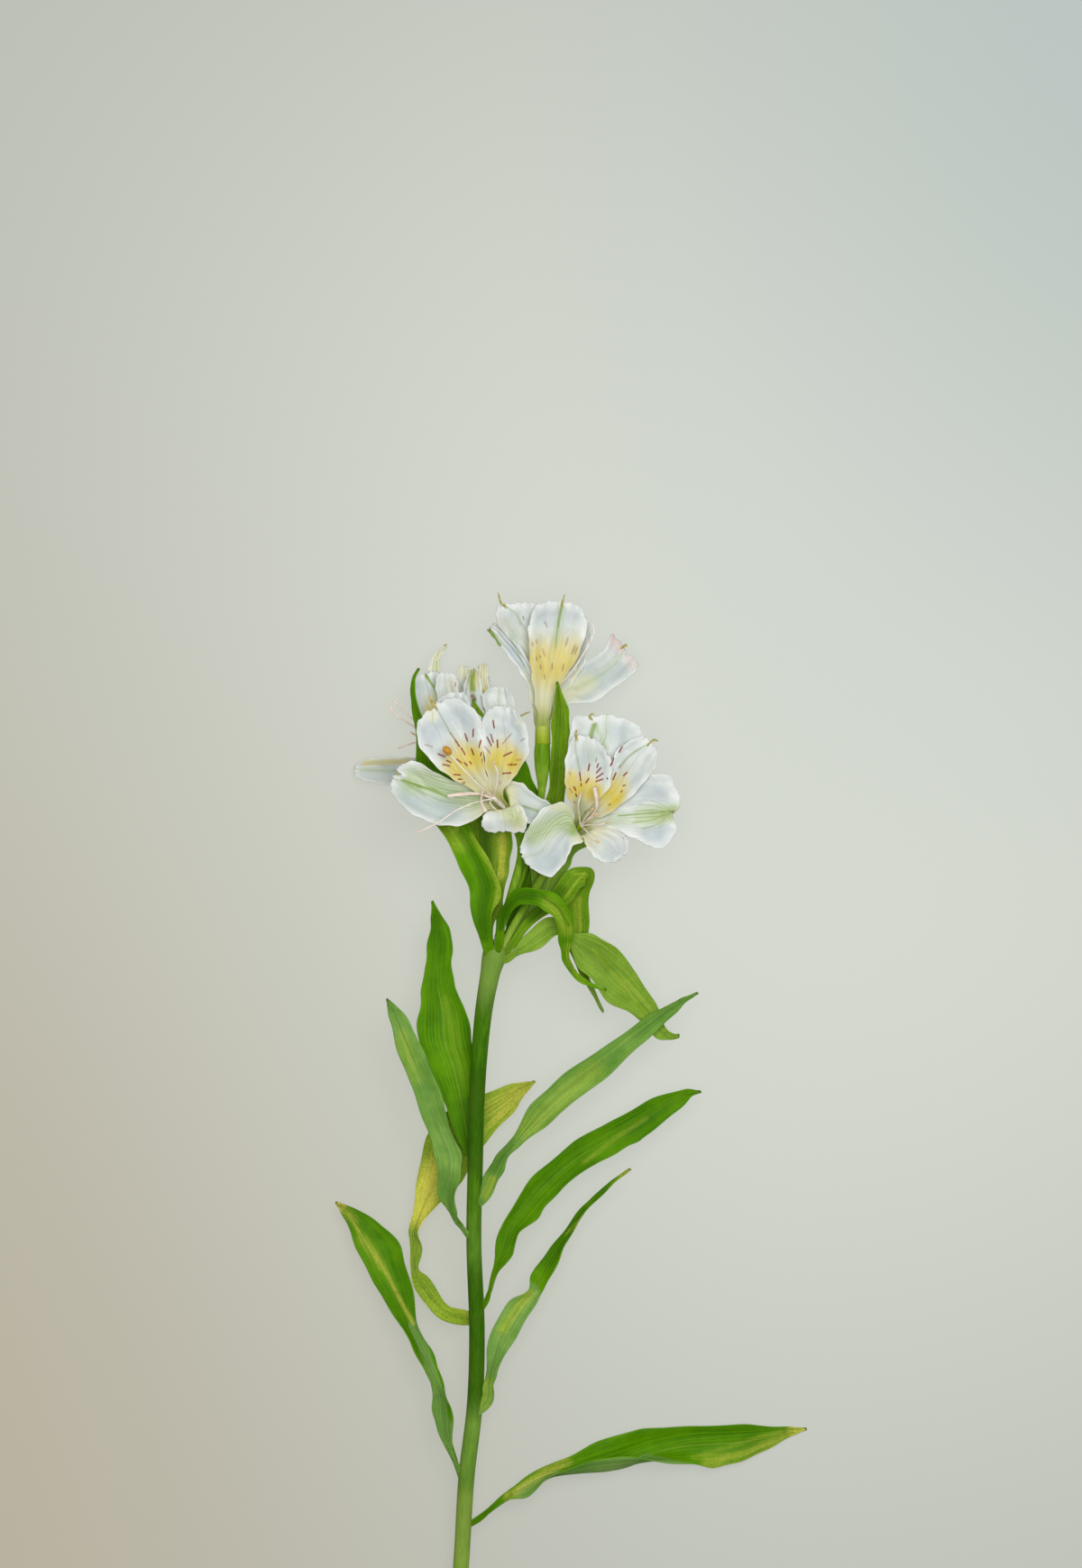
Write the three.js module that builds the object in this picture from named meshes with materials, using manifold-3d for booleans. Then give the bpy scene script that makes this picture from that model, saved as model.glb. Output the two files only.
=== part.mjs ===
// One cut stem of white alstroemeria, lying on its side on a flat surface.
//
// Millimetres. The stem runs along +Y from its cut end to the whorl of bracts under the flower head;
// +X is the right-hand side and +Z is up, away from the surface. Every leaf, bract, flower stalk,
// bloom and set of stamens is its own mesh.
//
// Leaves, bracts and petals are thin blades. A blade is a row of ribs from root to tip, and one
// formula raises both of its faces from them, so the faces share their triangles. A rib is
//   [left x, left y, right x, right y, height, tilt, cup, bow]
// left and right are the blade's two edges, seen from above by someone who looks from root to tip.
// height is the middle of the chord between them, tilt is how much higher the right edge is than the
// left one, cup is how deep the middle hangs below the chord, and bow is how far the middle runs
// ahead of the chord towards the tip. Tilt, cup and bow may be left out.
//
// A limb is a round solid along stations [x, y, z, radius].

import * as THREE from "three";
import { mergeVertices } from "three/addons/utils/BufferGeometryUtils.js";
import Module from "manifold-3d";

const wasm = await Module();
wasm.setup();

// ---------------------------------------------------------------- driving dimensions

const GAP = 0.3; // clearance where one piece touches the next
const LEAF = { midrib: 1.0, edge: 0.6, across: 4, perSpan: 1 }; // thickness and grid of a leaf blade
const PETAL = { midrib: 0.8, edge: 0.6, across: 4, perSpan: 1.6 };
const STEM_GRID = { sides: 12, perSpan: 2 };
const STALK_GRID = { sides: 8, perSpan: 2 };
const STAMEN_GRID = { sides: 4, perSpan: 2 };
const DIFFERENCE = 1e-3; // step in u and v for a blade's normals
const WELD = 1e-4; // corners closer than this are one

// Main stem, a limb. Its last stations are the crown that the bracts and flower stalks spring from.
const STEM = [
  [-17.4, -318, 2.9, 3.0],
  [-16.7, -304, 2.9, 3.0],
  [-16.1, -290, 2.95, 3.0],
  [-15.3, -274, 3.3, 3.0],
  [-14.0, -252, 6.2, 3.0],
  [-12.0, -223, 11.5, 2.95],
  [-10.3, -195, 15.0, 3.0],
  [-7.2, -168, 18.6, 2.95],
  [-6.4, -140, 22.4, 2.9],
  [-7.5, -108, 26.5, 2.8],
  [-7.0, -80, 29.8, 2.85],
  [-6.2, -50, 33.2, 2.95],
  [-4.2, -25, 35.8, 3.15],
  [-1.6, -9, 37.4, 3.6],
  [0.2, -1, 38.0, 4.4],
  [1.2, 4, 38.3, 2.4],
];

const LEAVES = {
  leaf_low_right: [
    [-10.5, -212.5, -9.5, -214.5, 12.5],
    [-3, -207.2, -2, -208.8, 14, 0, 0.2],
    [4.4, -200.8, 5.8, -203.6, 15, 1, 0.5],
    [10, -196, 12.9, -201.5, 15.5, 2, 1],
    [19, -191.5, 20, -195.4, 15.5, 3, 2.4],
    [29, -186.8, 30.5, -190.7, 15, 6, 6],
    [40, -181.9, 41, -188, 14, 9, 9.5],
    [50, -178.9, 51, -187.8, 13, 9, 10],
    [60, -177.4, 61, -189.2, 11, 7, 7],
    [75, -176.3, 74, -190.6, 8.5, 2, 3.5],
    [90, -176.2, 87, -190, 6, 0, 2.2],
    [101, -176.6, 99.5, -185.8, 3.8, 0, 1.2],
    [109.5, -177.2, 108.5, -181.3, 1.9, 0, 0.5],
    [115.8, -177.6, 115.4, -178.4, 0.6],
  ],
  leaf_low_left: [
    [-12.9, -196.5, -11.4, -197.5, 15],
    [-15.4, -189.5, -13.2, -190, 17, 0, 0.2],
    [-20, -180, -15.6, -181.5, 18.5, 1, 1],
    [-23.2, -171.5, -16, -171.5, 19, 2, 1.5],
    [-22.4, -164.5, -18, -164.5, 19.5, 3, 1],
    [-25, -157, -20.2, -155.5, 18, -3, 1],
    [-29, -149, -23.5, -148, 16.5, -4, 1.5],
    [-34, -140, -28.3, -139, 15.5, -2, 1.5],
    [-40.5, -129.8, -30.3, -128, 14, 0, 2],
    [-46, -121.5, -32.8, -117, 13, 0, 2],
    [-50.5, -112, -36, -107.8, 11.5, 0, 1.8],
    [-54, -103.5, -43, -101.6, 10, 0, 1.2],
    [-56.8, -97.5, -51, -96.3, 9, 0, 0.5],
    [-58.8, -94, -58.2, -93.6, 8],
  ],
  leaf_mid_right: [
    [-7.5, -171, -5.5, -172.5, 20],
    [-4.6, -165, -0.2, -166, 21.5, 1, 0.6],
    [-3.8, -159.5, -0.2, -160, 23, 1, 0.6],
    [-2.8, -153, 1.4, -154, 24, 1, 0.8],
    [-1.2, -141.5, 7, -144.5, 24.5, 0, 1.5],
    [4.5, -131, 13.2, -134, 24, 0, 1.5],
    [12, -126, 18, -126, 23.5, -2, 1],
    [14.2, -119.5, 21.5, -119, 23, 3, 1.5],
    [20, -110.5, 25.2, -110.5, 22, 3, 1.5],
    [27, -101.8, 29.8, -102.4, 21, 3, 1],
    [34.5, -92.8, 35.6, -94, 20, 1, 0.4],
    [43, -85.6, 43.8, -86.2, 19],
    [49.8, -80.8, 50.2, -81.4, 18],
  ],
  leaf_back_yellow: [
    [-6, -139, -6, -134.5, 20.5],
    [-15, -138.5, -15, -132.5, 15, -1, 0.6],
    [-22, -134.8, -19.5, -128.6, 13, -1, 0.6],
    [-28, -128, -24.8, -121.5, 12.5, -2, 0.8],
    [-30.6, -119, -28.3, -117.5, 12.5, -3, 0.6],
    [-31.4, -110, -26.7, -110.5, 12.5, 2, 0.6],
    [-31, -103, -28.3, -104, 13, 3, 0.8],
    [-29.6, -93, -22.5, -96, 13.5, 2, 1.2],
    [-27.5, -80, -13.5, -86.5, 14, 1, 1.8],
    [-24.5, -67, -7.5, -77.5, 14, 0, 2],
    [-15, -57.5, -1, -68, 14, 0, 1.8],
    [-3.5, -52.8, 5.5, -61, 13.5, 0, 1.2],
    [6, -49.6, 10.2, -54.6, 13, 0, 0.6],
    [14.4, -48.4, 14.8, -49, 12.5],
  ],
  leaf_mid_left: [
    [-9.5, -107, -7.5, -108, 27.5],
    [-12.8, -102.3, -11.4, -101.2, 30, 0, 0.2],
    [-16, -97.8, -14, -97.4, 32, 1, 0.4],
    [-20, -91, -14.8, -91, 33, 1, 1],
    [-21, -83.5, -12.4, -82.5, 33.5, 0, 1.6],
    [-21.4, -75.5, -12.4, -74.5, 34, 0, 1.8],
    [-25, -65, -16.4, -65, 34, 0, 1.6],
    [-29.4, -52.5, -20.4, -51.5, 33.5, 0, 1.6],
    [-33.6, -43, -24.8, -39.8, 32.5, 0, 1.4],
    [-36.8, -33, -29.4, -31, 31.5, 0, 1],
    [-38.8, -24.5, -34.4, -22.4, 30, 0, 0.5],
    [-39.8, -18.2, -39.2, -17.9, 29],
  ],
  leaf_high_left: [
    [-8.5, -79, -5.5, -79, 28],
    [-12.6, -71.5, -6, -71, 25, 0, 0.8],
    [-18.2, -58, -5.4, -58, 23.5, 0, 1.6],
    [-23.5, -44, -6, -44, 23.5, 0, 2],
    [-28, -33, -8.2, -34, 24, 0, 2.2],
    [-27.5, -22, -10.5, -22, 24, 0, 2],
    [-26.6, -13, -15, -12.5, 24, 0, 1.5],
    [-25.6, -4.5, -15.8, -4.5, 24, 1, 1.5],
    [-24.6, 3.5, -15.8, 3.5, 24.5, 1, 1.2],
    [-23.5, 10.5, -18.2, 10.5, 24.5, 0, 0.8],
    [-23.1, 18, -22.5, 18, 24.5],
  ],
  leaf_mid_right_long: [
    [-5.5, -132, -4, -133.5, 24],
    [-2.3, -125.5, -1, -126, 27, 0, 0.2],
    [-0.7, -118.5, 1.6, -118.5, 29, 1, 0.4],
    [0.4, -110.5, 5.6, -112.5, 30, 1, 1],
    [3.2, -101, 10.5, -103, 30.5, 1, 1.8],
    [10, -89.5, 18.8, -94, 30, 0, 2.2],
    [19, -79.3, 27.5, -85.8, 29, 0, 2.2],
    [30.5, -70.2, 38, -78.2, 27.5, 0, 2.2],
    [42, -63.4, 48.5, -72.5, 26, 0, 2],
    [53.5, -57.2, 57.5, -67, 24.5, 0, 1.6],
    [63, -52.9, 66.8, -59.5, 22.5, 0, 1],
    [71, -51.3, 72.6, -54, 21, 0, 0.4],
    [76, -51.8, 76, -52.5, 20],
  ],
  leaf_high_right: [
    [-6.5, -93, -5, -95, 30],
    [-4.8, -86.5, 0.4, -87.5, 32.5, 1, 0.5],
    [-2.6, -80.5, 2.6, -81.5, 34.5, 1, 0.6],
    [0.8, -75.8, 5, -76.2, 35.5, 1, 0.6],
    [6.5, -68.8, 10, -71.2, 36, 1, 1],
    [13.2, -58, 19.5, -64, 36.5, 0, 1.6],
    [22.5, -48.2, 30.5, -54.8, 36, 0, 1.8],
    [36, -38.4, 43, -44.6, 35, 0, 1.6],
    [49, -29.2, 54.5, -34.3, 33, 0, 1.2],
    [60, -22, 63.5, -25.8, 31, 0, 0.8],
    [68.5, -17.8, 69.6, -19.6, 30, 0, 0.3],
    [74.6, -15.4, 75, -15.9, 29],
  ],
};

const BRACTS = {
  bract_left: [
    [-3.2, -2.5, -0.4, -3, 40.5],
    [-5.5, 5, -0.8, 6, 43, 1, 0.6],
    [-8.5, 15, -0.6, 14.5, 43.5, 2, 1.4],
    [-10, 25, 2.3, 22, 43, 1, 2],
    [-13, 32.5, -0.8, 31.5, 42, 0, 2.4],
    [-17.5, 41, -6, 40.5, 41, 0, 2.4],
    [-22, 49, -11, 49.5, 39.5, 0, 2.2],
    [-26, 58.5, -15.5, 60, 37.5, 0, 1.8],
    [-28.7, 69.5, -19.5, 70, 36, 1, 1.4],
    [-29, 78, -22.6, 79.5, 35.5, 3, 1],
    [-29.6, 86, -26.8, 87.5, 35.5, 4, 0.6],
    [-31, 95, -29.4, 95.5, 35.5, 3, 0.3],
    [-30, 101, -29.2, 100.6, 36, 1],
    [-28.2, 104.4, -27.8, 103.8, 36],
  ],
  bract_back_left: [
    [-3.2, -1.8, -0.8, -1.8, 35.6],
    [-5.4, 9, 0, 9, 33, 0, 0.6],
    [-6, 22, 3, 20, 30, 0, 1.4],
    [-9, 34, 5.6, 32, 29, 0, 2],
    [-10.2, 45, 6.6, 44, 29, 0, 2],
    [-8.2, 58, 5, 58, 29.5, 0, 1.8],
    [-8.2, 70, 1, 71, 30, 0, 1.4],
    [-8.4, 82, -2.2, 84, 30.5, 0, 0.8],
    [-8, 92.6, -7.4, 92.4, 31],
  ],
  bract_back: [
    [2.4, 1.8, 4, 1.2, 34.8],
    [5.2, 11, 8.8, 10.5, 30.2, 0, 0.5],
    [7.5, 25, 12.6, 24.5, 28.5, 0, 1],
    [8.8, 40, 15.6, 40, 29, 0, 1.4],
    [8.4, 53, 16.3, 54.5, 30.5, 0, 1.5],
    [6, 64, 13.6, 65, 32, 0, 1.2],
    [3.5, 74, 8.5, 76, 33, 0, 0.8],
    [1.5, 83.5, 2.2, 83.9, 34],
  ],
  bract_upright: [
    [0.2, 0.4, 2.6, -0.4, 33.9],
    [6.5, 13, 9.5, 12, 27, 0, 0.5],
    [11.5, 27, 16, 25.5, 25, 0, 1],
    [16, 41, 21, 40, 26.5, 0, 1],
    [19, 53, 25, 52, 31, 0, 1.2],
    [20.7, 64, 27, 63.5, 37.5, 0, 1.3],
    [20.9, 74, 27.4, 74.5, 43, 0, 1.3],
    [21.2, 83, 27.6, 82.5, 46.5, 0, 1.2],
    [22.2, 91.5, 26.6, 90.5, 48.5, 0, 0.8],
    [23, 99, 23.6, 98.9, 49.5],
  ],
  bract_right_wavy: [
    [3.6, 1.2, 4.9, -0.4, 37],
    [8.6, 13, 13.2, 10, 32.4, 0, 0.6],
    [13.8, 22.5, 21.5, 20.5, 31, 0, 1.2],
    [13.6, 31, 27.2, 30.5, 30.5, 0, 1.6],
    [20, 40.5, 31, 37.2, 30, 0, 1.4],
    [27, 45, 36.5, 40, 30, 0, 1],
    [36, 46, 42, 42, 29, 0, 0.6],
    [47, 46.5, 47.6, 45.8, 28.5],
  ],
  bract_folded: [
    [3.2, -0.8, 4.4, -2.2, 38.6],
    [9.5, 9.5, 11.8, 7.2, 36.4, 0, 0.5],
    [17, 17.5, 20.4, 14.2, 36.5, 0, 1],
    [23, 24.5, 28, 18.5, 38, 0, 1.2],
    [28.5, 30.6, 31.8, 23.8, 38.5, 0, 1.2],
    [35.2, 31, 33.6, 24, 37, 0, 1],
    [36.8, 26, 31.4, 23.4, 33.5, 0, 0.8],
    [34.6, 20, 26.4, 18, 30, 0, 1],
    [35.4, 11, 26, 10, 27.5, 0, 1.4],
    [34.8, 1, 27.4, 2, 25.5, 0, 1.2],
    [34.5, -7, 30.8, -6, 24, 0, 0.8],
    [37.2, -14.5, 35.2, -13.8, 23, 0, 0.3],
    [40.5, -22, 39.9, -22.4, 22],
  ],
  bract_curled: [
    [0.2, 0, 2.4, -0.4, 41.6],
    [0.8, 7, 3.8, 7, 45.4, 0, 0.3],
    [1.8, 14, 5.2, 13, 48, 2, 0.6],
    [5, 20.2, 7, 16.2, 51, 2, 0.8],
    [11, 23.6, 11.5, 17.8, 53, 1, 1],
    [19, 22.5, 17, 16.5, 53.5, 0, 1.2],
    [25.4, 18.6, 21.4, 13.2, 53, 0, 1.4],
    [29, 12, 23.8, 8, 51.5, 0, 1.3],
    [29.2, 5, 24.4, 2, 49, 0, 1.1],
    [28, -1.5, 25.6, -3, 47, 1, 0.6],
    [30.5, -7.2, 29, -8.4, 45.5, 0, 0.3],
    [35.6, -11.3, 35, -12.4, 44.2, 0, 0.1],
    [41, -13.6, 40.8, -14.1, 43.5],
  ],
  bract_drooping: [
    [2.9, -2.4, 3.2, -5, 40.2],
    [6.8, 0.3, 7.8, -2, 41.4, 0, 0.4],
    [10.5, 5, 12.5, -0.4, 42.5, 1, 1],
    [15.5, 10.4, 18.2, 2.8, 43, 1, 1.5],
    [22.5, 12.2, 23.6, 6.2, 43, 0, 1],
    [28.6, 7.6, 27.4, 2.8, 41.5, 0, 0.8],
    [36, 5.9, 31.5, -6, 38.5, 0, 1.8],
    [42, 3.4, 36.5, -11, 35.5, 0, 2.2],
    [48.5, -2.4, 42, -18, 32.5, 0, 2.2],
    [54, -10, 49.5, -22.4, 29.5, 0, 2],
    [59.3, -18.6, 54.8, -26, 27, 0, 1.4],
    [63, -27, 59.5, -31.2, 26, 0, 0.8],
    [65.5, -30.3, 64.5, -32.6, 26.5, 0, 0.3],
    [68.3, -30.6, 68, -32.2, 28],
  ],
};

// Blooms. stalk, heart and stamens are limbs; petals are blades. The heart is the solid base that
// the petals share, from the ovary outwards. The first stamen limb is the column that the filaments
// leave.
const BLOOMS = {
  right: {
    stalk: [
      [2.8, 1.4, 38.8, 1.4],
      [8, 11, 38.4, 1.4],
      [14, 21, 36.6, 1.5],
      [19, 30, 33.8, 1.7],
      [21.6, 34.3, 33, 3],
      [23.6, 37, 34.8, 3.1],
      [24.8, 38.6, 36.8, 2.4],
    ],
    heart: [
      [25, 38.9, 37.2, 2.2],
      [27.2, 41.3, 40.5, 2.1],
      [29.2, 43.5, 43.5, 1.8],
    ],
    petals: {
      inner_left: [
        [25.2, 39.6, 26.6, 40, 39],
        [29.6, 49, 32, 50, 47.6, 0, 0.4],
        [28, 55.5, 36, 54, 54, 0, 1.5],
        [26.2, 63, 42, 60, 58, 0, 2.5],
        [26.2, 71, 43.2, 69, 59.5, 0, 2.5],
        [28.6, 79, 40, 76, 59, 0, 1.5, 2],
      ],
      inner_right: [
        [26.4, 39.8, 27.4, 39, 39],
        [33, 49.8, 35, 48, 47.6, 0, 0.4],
        [36, 55.5, 41.5, 50.5, 53.5, 0, 1.5],
        [40.5, 64, 50, 57, 57, 0, 2.2],
        [45.5, 74.5, 57.5, 65.5, 58, 0, 2.2],
        [54, 80, 60.3, 72.5, 57.5, 0, 1.2, 1.2],
      ],
      outer_top: [
        [25.2, 39.8, 26.6, 39.6, 38.2],
        [30.2, 49.8, 33.6, 50, 46, 0, 0.4],
        [28.4, 59, 38, 57, 50.5, 0, 1],
        [27, 70, 46, 66, 53, 0, 2],
        [28, 80, 53.5, 77, 53, 0, 2.5],
        [29, 86.5, 54, 83, 52, 0, 1.5, 3],
      ],
      outer_right: [
        [26.4, 39.4, 26.8, 38, 38.6],
        [34.6, 48.6, 34.8, 45, 47.4, 0, 0.5],
        [40, 53.6, 41.5, 46, 51, 0, 1.5],
        [48, 59.3, 48.5, 43.4, 53.5, 0, 2.5],
        [57.5, 65, 57, 39.3, 54, 0, 3],
        [64.5, 65.5, 62.5, 38, 53.5, 0, 2, 5.5],
      ],
      inner_low: [
        [26.4, 38.6, 25.6, 37.4, 38.4],
        [35.4, 45, 32, 42.6, 48.8, 0, 0.4],
        [41, 46.4, 34, 39, 51.8, 0, 1],
        [46.5, 45, 36.6, 35.4, 52.4, 0, 1.8],
        [49.6, 40.5, 40, 33.2, 51.2, 0, 1.8],
        [48.6, 36, 43.5, 33, 50, 0, 1, 1],
      ],
      outer_left: [
        [25.4, 37.6, 24.8, 39, 38.6],
        [33.2, 40.6, 28.8, 48.6, 48.2, 0, 0.6],
        [28.8, 38.6, 26.2, 54.8, 51.4, 0, 2],
        [25.8, 32.5, 18.5, 53, 51.4, 0, 2.5],
        [20.8, 27.6, 13, 46, 50.4, 0, 2],
        [14, 30.8, 9.8, 39.2, 49.6, 0, 1, 1.5],
      ],
    },
    stamens: [
      [[29.5, 43.8, 43.95, 0.8], [32.2, 46.8, 48.2, 0.8]],
      [[31.8, 46.4, 47.6, 0.4], [34, 50, 53, 0.35], [35.6, 51.8, 56, 0.9], [36.4, 52.8, 57, 0.5]],
      [[31.8, 46.4, 47.6, 0.4], [34.6, 48.8, 54, 0.35], [37.6, 52.6, 58.4, 0.4], [37.6, 57, 60.4, 0.8], [36.9, 60.6, 61.2, 0.8]],
      [[31.8, 46.4, 47.6, 0.4], [34.5, 48.5, 53, 0.35], [37, 50.2, 56.5, 0.9], [38, 51, 57.2, 0.5]],
      [[31.8, 46.4, 47.6, 0.4], [31.4, 50.4, 53, 0.35], [31, 54, 58, 0.35], [32, 58.5, 60.5, 0.8]],
      [
        [31.8, 46.4, 47.6, 0.4],
        [35, 46.8, 52.5, 0.35],
        [38.5, 46.8, 56, 0.35],
        [41.5, 47.6, 57.5, 0.8],
      ],
      [
        [31.8, 46.4, 47.6, 0.4],
        [33.8, 44.8, 53, 0.35],
        [35.6, 42.4, 57, 0.35],
        [38, 40.8, 58.5, 0.8],
      ],
    ],
  },
  front: {
    stalk: [
      [1.2, 2.8, 40.8, 1.4],
      [3, 10, 41.8, 1.4],
      [6.6, 22, 41.6, 1.5],
      [10, 34, 38.8, 1.7],
      [11.2, 41, 37, 3],
      [10, 45.6, 38, 3.1],
      [8.8, 48.2, 40.6, 2.4],
    ],
    heart: [
      [8.4, 48.6, 41.4, 2.2],
      [6.2, 50.7, 45, 2.1],
      [4.4, 52.4, 48, 1.8],
    ],
    petals: {
      inner_left: [
        [6.6, 50, 7.6, 51.2, 43],
        [-1.6, 56, 1.2, 58.4, 53, 0, 0.5],
        [-11, 61.5, -3, 66, 58, 0, 1.8],
        [-20.5, 67.8, -4, 77, 61, 0, 3],
        [-27.5, 76, -5.5, 86.5, 62, 0, 3],
        [-28.3, 84, -13, 93.5, 61.5, 0, 1.8, 2.5],
      ],
      inner_right: [
        [7, 51, 8.4, 50.4, 43],
        [-0.6, 58, 3, 58, 53, 0, 0.5],
        [-2.4, 65, 6.8, 63.5, 58, 0, 1.6],
        [-3.8, 75, 12.3, 72.5, 60.5, 0, 2.6],
        [-4.8, 83.5, 12.2, 81, 61, 0, 2.4],
        [-2.4, 88.8, 8.6, 88.2, 60, 0, 1.4, 2.4],
      ],
      outer_top: [
        [6.4, 49.6, 7.8, 51, 42.4],
        [-2.5, 57, 0.5, 59.5, 50, 0, 0.5],
        [-12, 66, -2, 70, 53, 0, 1.5],
        [-21, 80, -3.5, 84, 55, 0, 2.5],
        [-23, 88.5, -8.5, 90, 55, 0, 2],
        [-19.5, 93.6, -9.5, 93.4, 54, 0, 1.2, 2.8],
      ],
      outer_left: [
        [6.4, 48.6, 6.2, 50.4, 42.6],
        [-1.5, 52, -1.5, 58.5, 51, 0, 1],
        [-10, 47.2, -8, 61.2, 54, 0, 2],
        [-21, 47, -18.5, 64.3, 55, 0, 2.5],
        [-30.5, 51, -28.2, 69.8, 54.5, 0, 2.5],
        [-38, 58.5, -34, 69, 54, 0, 1, 1.5],
      ],
      inner_low: [
        [8, 48.4, 7, 48, 42.6],
        [4.4, 51.2, -0.2, 50.2, 53.5, 0, 0.4],
        [9.2, 54, -2.4, 51.8, 56.6, 0, 0.8],
        [12.4, 49.5, -4.4, 48, 57.4, 0, 0.8],
        [11.4, 44.2, -3.2, 44.6, 55, 0, 0.6, 0.5],
      ],
      outer_right: [
        [8.4, 50.4, 9, 48.8, 43],
        [3.6, 61.4, 6, 52.4, 50.5, 0, 0.8],
        [9.4, 62.4, 10.2, 48.6, 51.6, 0, 2.6],
        [14.4, 58.3, 14.5, 46.6, 48, 0, 2.6],
        [19.5, 55.4, 19, 46, 44.2, 0, 1.6],
        [23.5, 53, 22, 46.6, 42, 0, 1, 1],
      ],
    },
    stamens: [
      [[4.1, 52.75, 48.5, 0.8], [-0.5, 57, 56, 0.8]],
      [[0, 56.5, 55.2, 0.5], [-6, 58.2, 60, 0.5], [-12, 58, 63, 0.9], [-17, 57.4, 65, 0.6]],
      [
        [0, 56.5, 55.2, 0.4],
        [-7, 55, 60, 0.35],
        [-14, 52, 63, 0.35],
        [-20.5, 47.6, 64, 0.35],
        [-28.3, 43.8, 64, 0.4],
      ],
      [
        [0, 56.5, 55.2, 0.4],
        [-6, 62, 61.5, 0.35],
        [-12, 68, 65, 0.35],
        [-16.2, 73, 66.5, 1.5],
        [-18, 75, 67, 0.9],
      ],
      [[0, 56.5, 55.2, 0.4], [-3.6, 59.6, 61, 0.35], [-4.6, 55.6, 64, 0.35], [-3, 51.6, 65.5, 0.8]],
      [[0, 56.5, 55.2, 0.4], [0.8, 60.5, 61, 0.35], [1.4, 65.5, 64, 0.35], [0, 69.5, 65.5, 0.8]],
      [[0, 56.5, 55.2, 0.4], [-1.4, 55, 61, 0.35], [0.8, 52.2, 64, 0.8]],
    ],
  },
  top: {
    stalk: [
      [1.2, 5.2, 38.4, 1.2],
      [5.6, 16, 36.4, 1.4],
      [11.6, 32, 33.6, 1.4],
      [16, 48, 34.6, 1.45],
      [17.6, 60, 36.4, 1.5],
      [17.8, 67, 37.2, 2.7],
      [17.8, 73, 37.6, 3.1],
      [17.9, 77, 37.8, 2.8],
    ],
    heart: [
      [18, 77.8, 37.8, 2.9], [18, 82, 37.9, 2.8], [18.1, 86, 38, 2.5],
    ],
    petals: {
      inner_left: [
        [16, 79, 17, 79, 37.2, -0.6],
        [14.6, 88, 16.6, 88, 36.6, -1.6, 0.3],
        [13.5, 100, 21, 100, 34.6, 0, 1.5],
        [8.5, 111, 21, 112.5, 36, 0, 1.8],
        [1.5, 120.5, 18.5, 122.5, 38.4, 0, 1.6],
        [0.7, 127, 15.5, 128.4, 39, 0, 1, 0.8],
      ],
      outer_top: [
        [17, 79, 19, 79, 39.2],
        [15.9, 87.5, 20.4, 87.5, 40.8, 0, -0.6],
        [14.6, 97, 23.6, 96.6, 42.6, 0, -1.4],
        [13.2, 108, 30, 107.6, 44, 0, -1.6],
        [12.6, 119.5, 34, 118.5, 43, 0, -0.6],
        [15, 127.8, 32.3, 127, 41, 0, 0.6, 2.2],
      ],
      outer_right: [
        [19.6, 79.6, 20, 78.6, 38],
        [20.8, 88.8, 21.8, 87.4, 38.2, 0, 0.3],
        [24.5, 100.5, 28.5, 91.5, 35.6, 0, 1.2],
        [29.6, 104.6, 37, 92.6, 31, 0, 2],
        [39.5, 110.5, 49.5, 101.5, 23, 0, 2],
        [43.6, 117.8, 53.5, 106, 20, 0, 1, 0.5],
      ],
      outer_left: [
        [16.2, 79, 17, 79.6, 38.6, 0.6],
        [14.6, 88.5, 16.2, 89.5, 39.6, 1.4, 0.2],
        [11.8, 99.7, 15.8, 101, 40, 1.5, 0.8],
        [5.8, 108.4, 10.2, 111, 39, 2, 1],
        [1.4, 113.4, 5, 117, 37, 2, 0.8],
        [-2.6, 118.6, 0.3, 121.3, 35.5, 1, 0.4],
      ],
      inner_low: [
        [17, 79, 19, 79, 36.4],
        [16.4, 88, 20.2, 88, 35.2, 0, 0.4],
        [16, 100, 25, 100, 30, 0, 1.5],
        [15.4, 110, 29, 110, 26.6, 0, 2],
        [17, 118, 27.5, 117.6, 25, 0, 1, 1.4],
      ],
      inner_right: [
        [19, 79, 20, 79, 37.2, 0.6],
        [19.8, 88, 21.6, 88, 36.4, 1.6, 0.3],
        [20.6, 99, 27.5, 97, 33.5, 0, 1.2],
        [23.5, 109, 32.8, 105.5, 30.5, 0, 2],
        [26.5, 118, 35.5, 114.5, 28.5, 0, 2],
        [29.5, 124.5, 35, 122, 27.5, 0, 1, 1.2],
      ],
    },
    stamens: [
      [[18.1, 86.4, 38, 0.8], [19, 95, 38.6, 0.8]],
      [
        [19, 94, 38.5, 0.4],
        [24.5, 98.5, 40, 0.35],
        [29.5, 104.5, 39, 0.35],
        [33.6, 111, 38, 0.35],
        [36.8, 117.5, 37, 0.35],
        [36.2, 121.6, 36.6, 0.45],
      ],
      [[19, 94, 38.5, 0.4], [19.5, 101, 38.5, 0.35], [20.5, 106.5, 39.5, 0.8]],
      [[19, 94, 38.5, 0.4], [17.8, 101, 38, 0.35], [16.6, 107, 38, 0.8]],
      [[19, 94, 38.5, 0.4], [22, 101, 37.2, 0.35], [25, 106.5, 37, 0.8]],
      [[19, 94, 38.5, 0.4], [20.8, 99.5, 37.5, 0.35], [22.6, 104.5, 38.5, 0.8]],
    ],
  },
  back_left: {
    stalk: [
      [-1.4, 2.6, 38.8, 1.4],
      [-5, 14, 38, 1.4],
      [-8.8, 32, 36, 1.4],
      [-12, 50, 32, 1.5],
      [-13.8, 60, 28.4, 2.8],
      [-14.8, 65, 26.4, 3.1],
      [-15.6, 69, 24.8, 2.4],
    ],
    heart: [
      [-15.8, 69.7, 24.4, 2.2],
      [-17, 72.5, 23.4, 2.1],
      [-18, 74.6, 22.8, 1.8],
    ],
    petals: {
      outer_left: [
        [-17, 70.4, -17, 72, 24],
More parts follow.
